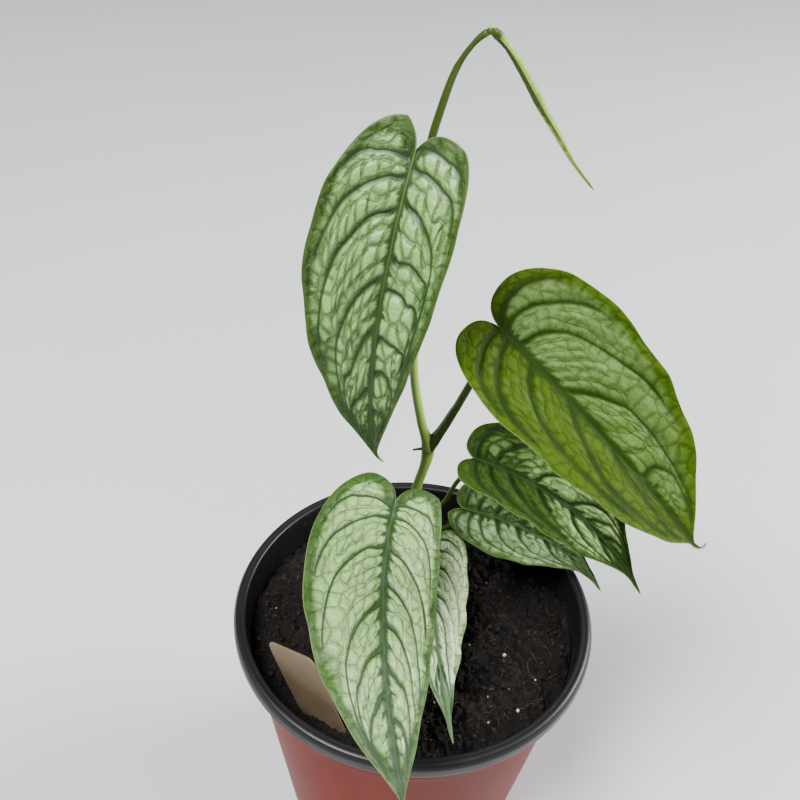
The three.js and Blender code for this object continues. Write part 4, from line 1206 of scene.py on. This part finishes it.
def soil(finish):
    """Soil: a square grid bent to a disc, each square ring to a circle, raised to the soil's height, with
    a wall that follows the pot's and a flat bottom."""
    n = SOIL_GRID
    s = np.linspace(-1, 1, n)
    a, b = np.meshgrid(s, s)
    big = np.maximum(np.abs(a), np.abs(b))
    flatter = np.abs(a) >= np.abs(b)
    quarter = np.pi / 4
    angle = np.where(flatter, quarter * b / np.where(a == 0, 1, a),
                     np.pi / 2 - quarter * a / np.where(b == 0, 1, b))
    radius = SOIL_EDGE * big * np.where(flatter, np.sign(a), np.sign(b))
    flat = np.stack([radius * np.cos(angle), radius * np.sin(angle)], -1)
    height = soil_height(flat) - 0.9 * smooth_step(0.93, 1.0, big)
    top = np.concatenate([flat, height[..., None]], -1).reshape(-1, 3)
    at = np.arange(n * n).reshape(n, n)
    rim = np.concatenate([at[0, :-1], at[:-1, -1], at[-1, :0:-1], at[:0:-1, 0]])
    rings = [top[rim] * (r / SOIL_EDGE, r / SOIL_EDGE, 0) + (0, 0, z) for z, r in SOIL_WALL]
    points = np.concatenate([top, *rings, [[0, 0, SOIL_FOOT]]])
    count = len(rim)
    order = np.concatenate([rim, n * n + np.arange(count * len(rings))])
    wall = order[grid_faces(len(rings) + 1, count, closed=True)][:, ::-1]
    bottom = fan(len(points) - 1, len(points) - 1 - count + np.arange(count))[:, ::-1]
    piece("soil_bed", points, [grid_faces(n, n), wall, bottom], [finish], "soil", ["soil"])


def ball():
    """The twelve corners and twenty faces of an icosahedron, from rectangles in the golden ratio."""
    g = (1 + 5**0.5) / 2
    corners = [(-1, g, 0), (1, g, 0), (-1, -g, 0), (1, -g, 0), (0, -1, g), (0, 1, g), (0, -1, -g),
               (0, 1, -g), (g, 0, -1), (g, 0, 1), (-g, 0, -1), (-g, 0, 1)]
    faces = [(0, 11, 5), (0, 5, 1), (0, 1, 7), (0, 7, 10), (0, 10, 11), (1, 5, 9), (5, 11, 4),
             (11, 10, 2), (10, 7, 6), (7, 1, 8), (3, 9, 4), (3, 4, 2), (3, 2, 6), (3, 6, 8),
             (3, 8, 9), (4, 9, 5), (2, 4, 11), (6, 2, 10), (8, 6, 7), (9, 8, 1)]
    return unit(np.array(corners, float)), np.array(faces)


def scattered(flat, sizes, jitter, draw, sink=0.25):
    """Copies of the ball at flat places on the soil: each is stretched, its corners moved at random, and
    it is sunk by a share of its size."""
    corners, faces = ball()
    count = len(flat)
    shape = corners[None] * (1 + jitter * draw.uniform(-1, 1, (count, 12, 1)))
    shape = shape * draw.uniform(0.6, 1.3, (count, 1, 3)) * sizes[:, None, None]
    height = soil_height(flat)
    centre = np.concatenate([flat, (height + sizes * (0.5 - sink))[:, None]], 1)
    points = (shape + centre[:, None, :]).reshape(-1, 3)
    return points, [(faces[None] + 12 * np.arange(count)[:, None, None]).reshape(-1, 3)]


def disc_places(count, draw, reach=52.5):
    """Random places spread evenly over the soil."""
    r = reach * np.sqrt(draw.uniform(0, 1, count))
    a = draw.uniform(0, 2 * np.pi, count)
    return np.stack([r * np.cos(a), r * np.sin(a)], -1)


def litter(crumb_finish, fibre_finish, grain_finish):
    """Loose bits on the soil: crumbs of peat and bark, thin bent fibres and a few pale mineral grains. A
    fibre is a thin rod along an arc, lifted at its middle and more at one end."""
    draw = np.random.default_rng(7)
    flat = disc_places(CRUMBS, draw)
    sizes = 0.22 + 0.75 * draw.uniform(0, 1, CRUMBS) ** 3
    points, faces = scattered(flat, sizes, 0.3, draw)
    shade = np.repeat(draw.uniform(0, 1, CRUMBS), 12)
    piece("soil_crumbs", points, faces, [crumb_finish], "soil", (), {"shade": shade})
    flat = np.vstack([GRAINS, disc_places(SMALL_GRAINS, draw)])
    sizes = np.concatenate([GRAIN_SIZES, draw.uniform(0.2, 0.42, SMALL_GRAINS)])
    points, faces = scattered(flat, sizes, 0.22, draw, 0.1)
    piece("pale_grains", points, faces, [grain_finish], "soil")
    stations, sides, column = 7, 4, (FIBRES, 1)
    start = disc_places(FIBRES, draw, 50)
    heading = draw.uniform(0, 2 * np.pi, FIBRES)
    bend = draw.normal(0, 0.9, FIBRES)
    length = draw.uniform(2.5, 9, FIBRES)
    t = np.linspace(-0.5, 0.5, stations)[None, :]
    turn = heading[:, None] + bend[:, None] * t
    aim = np.stack([np.cos(turn), np.sin(turn)], -1)
    flat = start[:, None, :] + (length[:, None] * t)[..., None] * aim
    reach = np.linalg.norm(flat, axis=-1, keepdims=True)
    flat = flat * np.minimum(1, 53.5 / np.maximum(reach, 1e-6))
    lift = 0.15 + draw.uniform(0, 0.9, column) * (1 - (2 * t) ** 2) + draw.uniform(-0.4, 0.7, column) * t
    path = np.concatenate([flat, (soil_height(flat) + lift)[..., None]], -1)
    radius = draw.uniform(0.05, 0.11, column) * (1 - 0.5 * np.abs(2 * t))
    rings = rings_round(path, radius[..., None], (0.1, 0.05, 1.0), around(sides))
    per = stations * sides
    caps = np.array([[3, 2, 1, 0], [per - 4, per - 3, per - 2, per - 1]])
    one = np.concatenate([grid_faces(stations, sides, closed=True), caps])
    faces = (one[None] + per * np.arange(FIBRES)[:, None, None]).reshape(-1, 4)
    shade = np.repeat(draw.uniform(0, 1, FIBRES), per)
    piece("soil_fibres", rings.reshape(-1, 3), [faces], [fibre_finish], "soil", (), {"shade": shade})


def label(finish):
    """Label: its outline, with rounded upper corners and a pointed foot, as rings that shrink towards the
    face on each side, so that its edges are rounded; it bows a little along its length."""
    t = np.linspace(0, np.pi / 2, 8)
    corner = np.stack([LABEL_CORNER * (1 - np.cos(t)), -LABEL_CORNER * (1 - np.sin(t))], -1)
    low = LABEL_POINT - LABEL_LENGTH
    side = np.stack([np.zeros(30), np.linspace(low, -LABEL_CORNER, 31)[1:]], -1)
    left = np.concatenate([[(LABEL_WIDTH / 2 - 3, -LABEL_LENGTH), (0, low)], side, corner[1:]])
    outline = np.concatenate([left, left[::-1] * (-1, 1) + (LABEL_WIDTH, 0)])
    centre = np.array([LABEL_WIDTH / 2, -LABEL_LENGTH / 2])
    count, half = len(outline), len(outline) // 2
    inwards = np.sign(centre - outline)
    flat = np.vstack([np.column_stack([outline + inwards * inset, np.full(count, z * LABEL_THICKNESS)])
                      for inset, z in LABEL_RIM])
    k = np.arange(half - 1)
    ladder = np.stack([k, k + 1, count - 2 - k, count - 1 - k], -1)
    faces = [grid_faces(len(LABEL_RIM), count, closed=True), ladder[:, ::-1],
             ladder + (len(LABEL_RIM) - 1) * count]
    across, down = unit(np.array(LABEL_ACROSS)), unit(np.array(LABEL_DOWN))
    down = unit(down - across * (across @ down))
    bow = LABEL_BOW * np.sin(np.pi * np.clip(-flat[:, 1:2] / 40, 0, 1))
    points = (np.array(LABEL_TOP_LEFT) + flat[:, :1] * across - flat[:, 1:2] * down
              + (flat[:, 2:] + bow) * np.cross(across, -down))
    piece("label_stick", points, faces, [finish], "label", ["plant_label"])


def terracotta_finish():
    """Outside of the pot: satin moulded plastic, with faint flow lines and scuffs."""
    f = Finish("terracotta_plastic", 0.06)
    place = f.place()
    x, y, z = place.parts()
    broad = f.clouds(place, 30.0)
    fine = f.clouds(place, 900.0)
    flow = f.clouds(f.vector(x, y, z * 0.12), 160.0)
    scuff = f.clouds(f.vector(x * 0.3, y * 0.3, z * 3.0), 260.0, 4.0).step(0.14, 0.24)
    base = f.mix((broad + flow * 0.7 + 0.5).step(0.1, 0.9), 0x641402, 0x701C06)
    base = f.mix(scuff * 0.25, base, 0x8C4830)
    rough = 0.4 + broad * 0.15 + scuff * 0.15
    return f.surface(base, rough, fine * 0.03 + flow * 0.04 + scuff * 0.02)


def black_finish():
    """Rim and inside of the pot: black satin plastic, faint scuffs, and peat dust towards the soil."""
    f = Finish("black_plastic", 0.36)
    place = f.place()
    fine = f.clouds(place, 1100.0)
    broad = f.clouds(place, 60.0, 4.0)
    dust = (broad + fine * 0.8).step(0.02, 0.3) * (1.0 - place.parts()[2].step(0.089, 0.1003))
    scuff = f.clouds(place, 350.0, 5.0).step(0.15, 0.24)
    base = f.mix(scuff * 0.4, 0x151517, 0x3A3A3D)
    base = f.mix(dust * 0.6, base, 0x2A1F1A)
    rough = 0.38 + broad * 0.2 + dust * 0.4 + scuff * 0.15
    return f.surface(base, rough, fine * 0.03 + scuff * 0.015 + dust * 0.05)


def soil_finish():
    """Damp peat: near black with red-brown fibrous patches and lighter flecks, rough all over."""
    f = Finish("peat", 0.2)
    place = f.place()
    broad = f.clouds(place, 55.0)
    medium = f.clouds(place, 420.0, 4.0)
    fine = f.clouds(place, 1500.0)
    base = f.mix((medium + broad * 0.8 + 0.5).step(0.25, 0.85), 0x060504, 0x14100E)
    base = f.mix((fine + broad).step(0.12, 0.4) * 0.6, base, 0x2E221D)
    return f.surface(base, 0.85 + fine * 0.3, medium + fine * 0.35)


def litter_finish(name, dark, light, rough):
    """Loose bits: each one's own shade between two colours, with a fine grain."""
    f = Finish(name, 0.3)
    fine = f.clouds(f.place(), 1600.0)
    base = f.mix((f.attribute("shade", "Fac") + fine).step(0.1, 1.0), dark, light)
    return f.surface(base, rough + fine * 0.2, fine * 0.15)


def label_finish():
    """Blank label: warm cream, darkened all over as painted shade for the shade it stands in inside the
    pot; satin, with a fine grain, and soil marks that grow towards the soil.
    """
    f = Finish("label_card", 0.4)
    place = f.place()
    fine = f.clouds(place, 1300.0)
    broad = f.clouds(place, 130.0, 4.0)
    mark = (broad + fine * 0.5 + (0.097 - place.parts()[2]) * 24.0).step(0.1, 0.5)
    # Painted shade: the cream is darkened to how the label looks in the pot's shade
    base = f.mix((broad + 0.5).step(0.2, 0.8), 0x645542, 0x70604A)
    base = f.mix(mark * 0.8, base, 0x4A3A30)
    return f.surface(base, 0.5 + fine * 0.15 + mark * 0.3, fine * 0.02 + mark * 0.05)


# ---------------------------------------------------------------- stage, light and camera

def floor():
    """A wide flat floor with a faint grain."""
    f = Finish("pale_floor", 0.2)
    grain = f.clouds(f.place(), 3.0)
    f.surface(f.mix((grain + 0.5).step(0.2, 0.8), 0xC9CBCD, 0xCFD1D3), 0.85 + grain * 0.1)
    mesh = bpy.data.meshes.new("floor")
    mesh.from_pydata([(-6, -6, 0), (6, -6, 0), (6, 6, 0), (-6, 6, 0)], [], [(0, 1, 2, 3)])
    mesh.materials.append(f.material)
    obj = new_object("floor", mesh)


def looking(place, right, up, back):
    """The matrix of something at place whose own axes point right, up and back."""
    rows = np.array([right, up, back, place]).T
    return Matrix([*rows.tolist(), [0, 0, 0, 1]])


def camera():
    """The photo's camera: turned down from level, then rolled about its own line of sight."""
    down, roll = math.radians(CAMERA_DOWN), math.radians(CAMERA_ROLL)
    onward = np.array([0, math.cos(down), -math.sin(down)])
    level = np.array([1.0, 0, 0])
    upright = np.cross(level, onward)
    right = math.cos(roll) * level + math.sin(roll) * upright
    up = -math.sin(roll) * level + math.cos(roll) * upright
    data = bpy.data.cameras.new("camera")
    data.sensor_fit = "HORIZONTAL"
    data.angle = math.radians(CAMERA_WIDTH)
    data.clip_start, data.clip_end = 0.01, 50
    obj = new_object("camera", data)
    obj.matrix_world = looking(np.array(CAMERA_PLACE) * MM, right, up, -onward)
    bpy.context.scene.camera = obj


def lamp(name, place, size, power, tint):
    """A square soft light at place that faces the plant."""
    data = bpy.data.lights.new(name, "AREA")
    data.size, data.energy, data.color = size, power, tint
    back = unit(np.array(place) - np.array(LIGHTS_AIM))
    right = unit(np.cross([0, 0, 1], back))
    new_object(name, data).matrix_world = looking(place, right, np.cross(back, right), back)


def lights():
    """Soft daylight: a large light high up on the left, one from behind on the right that edges the
    stalks, and a grey sky."""
    lamp("high_light", (-0.5, -0.5, 1.45), 0.6, 52, (1.0, 0.99, 0.97))
    lamp("back_light", (1.1, 0.35, 0.85), 0.6, 34, (1.0, 0.99, 0.98))
    world = bpy.data.worlds.new("sky")
    world.use_nodes = True
    sky = world.node_tree.nodes["Background"].inputs
    sky["Color"].default_value = (0.80, 0.82, 0.84, 1)
    sky["Strength"].default_value = 0.26
    bpy.context.scene.world = world


camera()
lights()
floor()
for leaf, look in zip(LEAVES, LOOKS):
    leaf_blade(leaf, [leaf_finish(leaf, look), underside_finish(leaf, look)])
living = stalk_finish()
vine(living)
for leaf, spec in zip(LEAVES, PETIOLES):
    petiole(spec, leaf, living)
new_stalk(living)
rolled_leaf(roll_finish())
pot(terracotta_finish(), black_finish())
soil(soil_finish())
litter(
    litter_finish("crumbs", 0x080606, 0x241B17, 0.85),
    litter_finish("fibres", 0x1E1612, 0x4E3D32, 0.7),
    litter_finish("mineral_grains", 0xA9A499, 0xDAD6CC, 0.8),
)
label(label_finish())
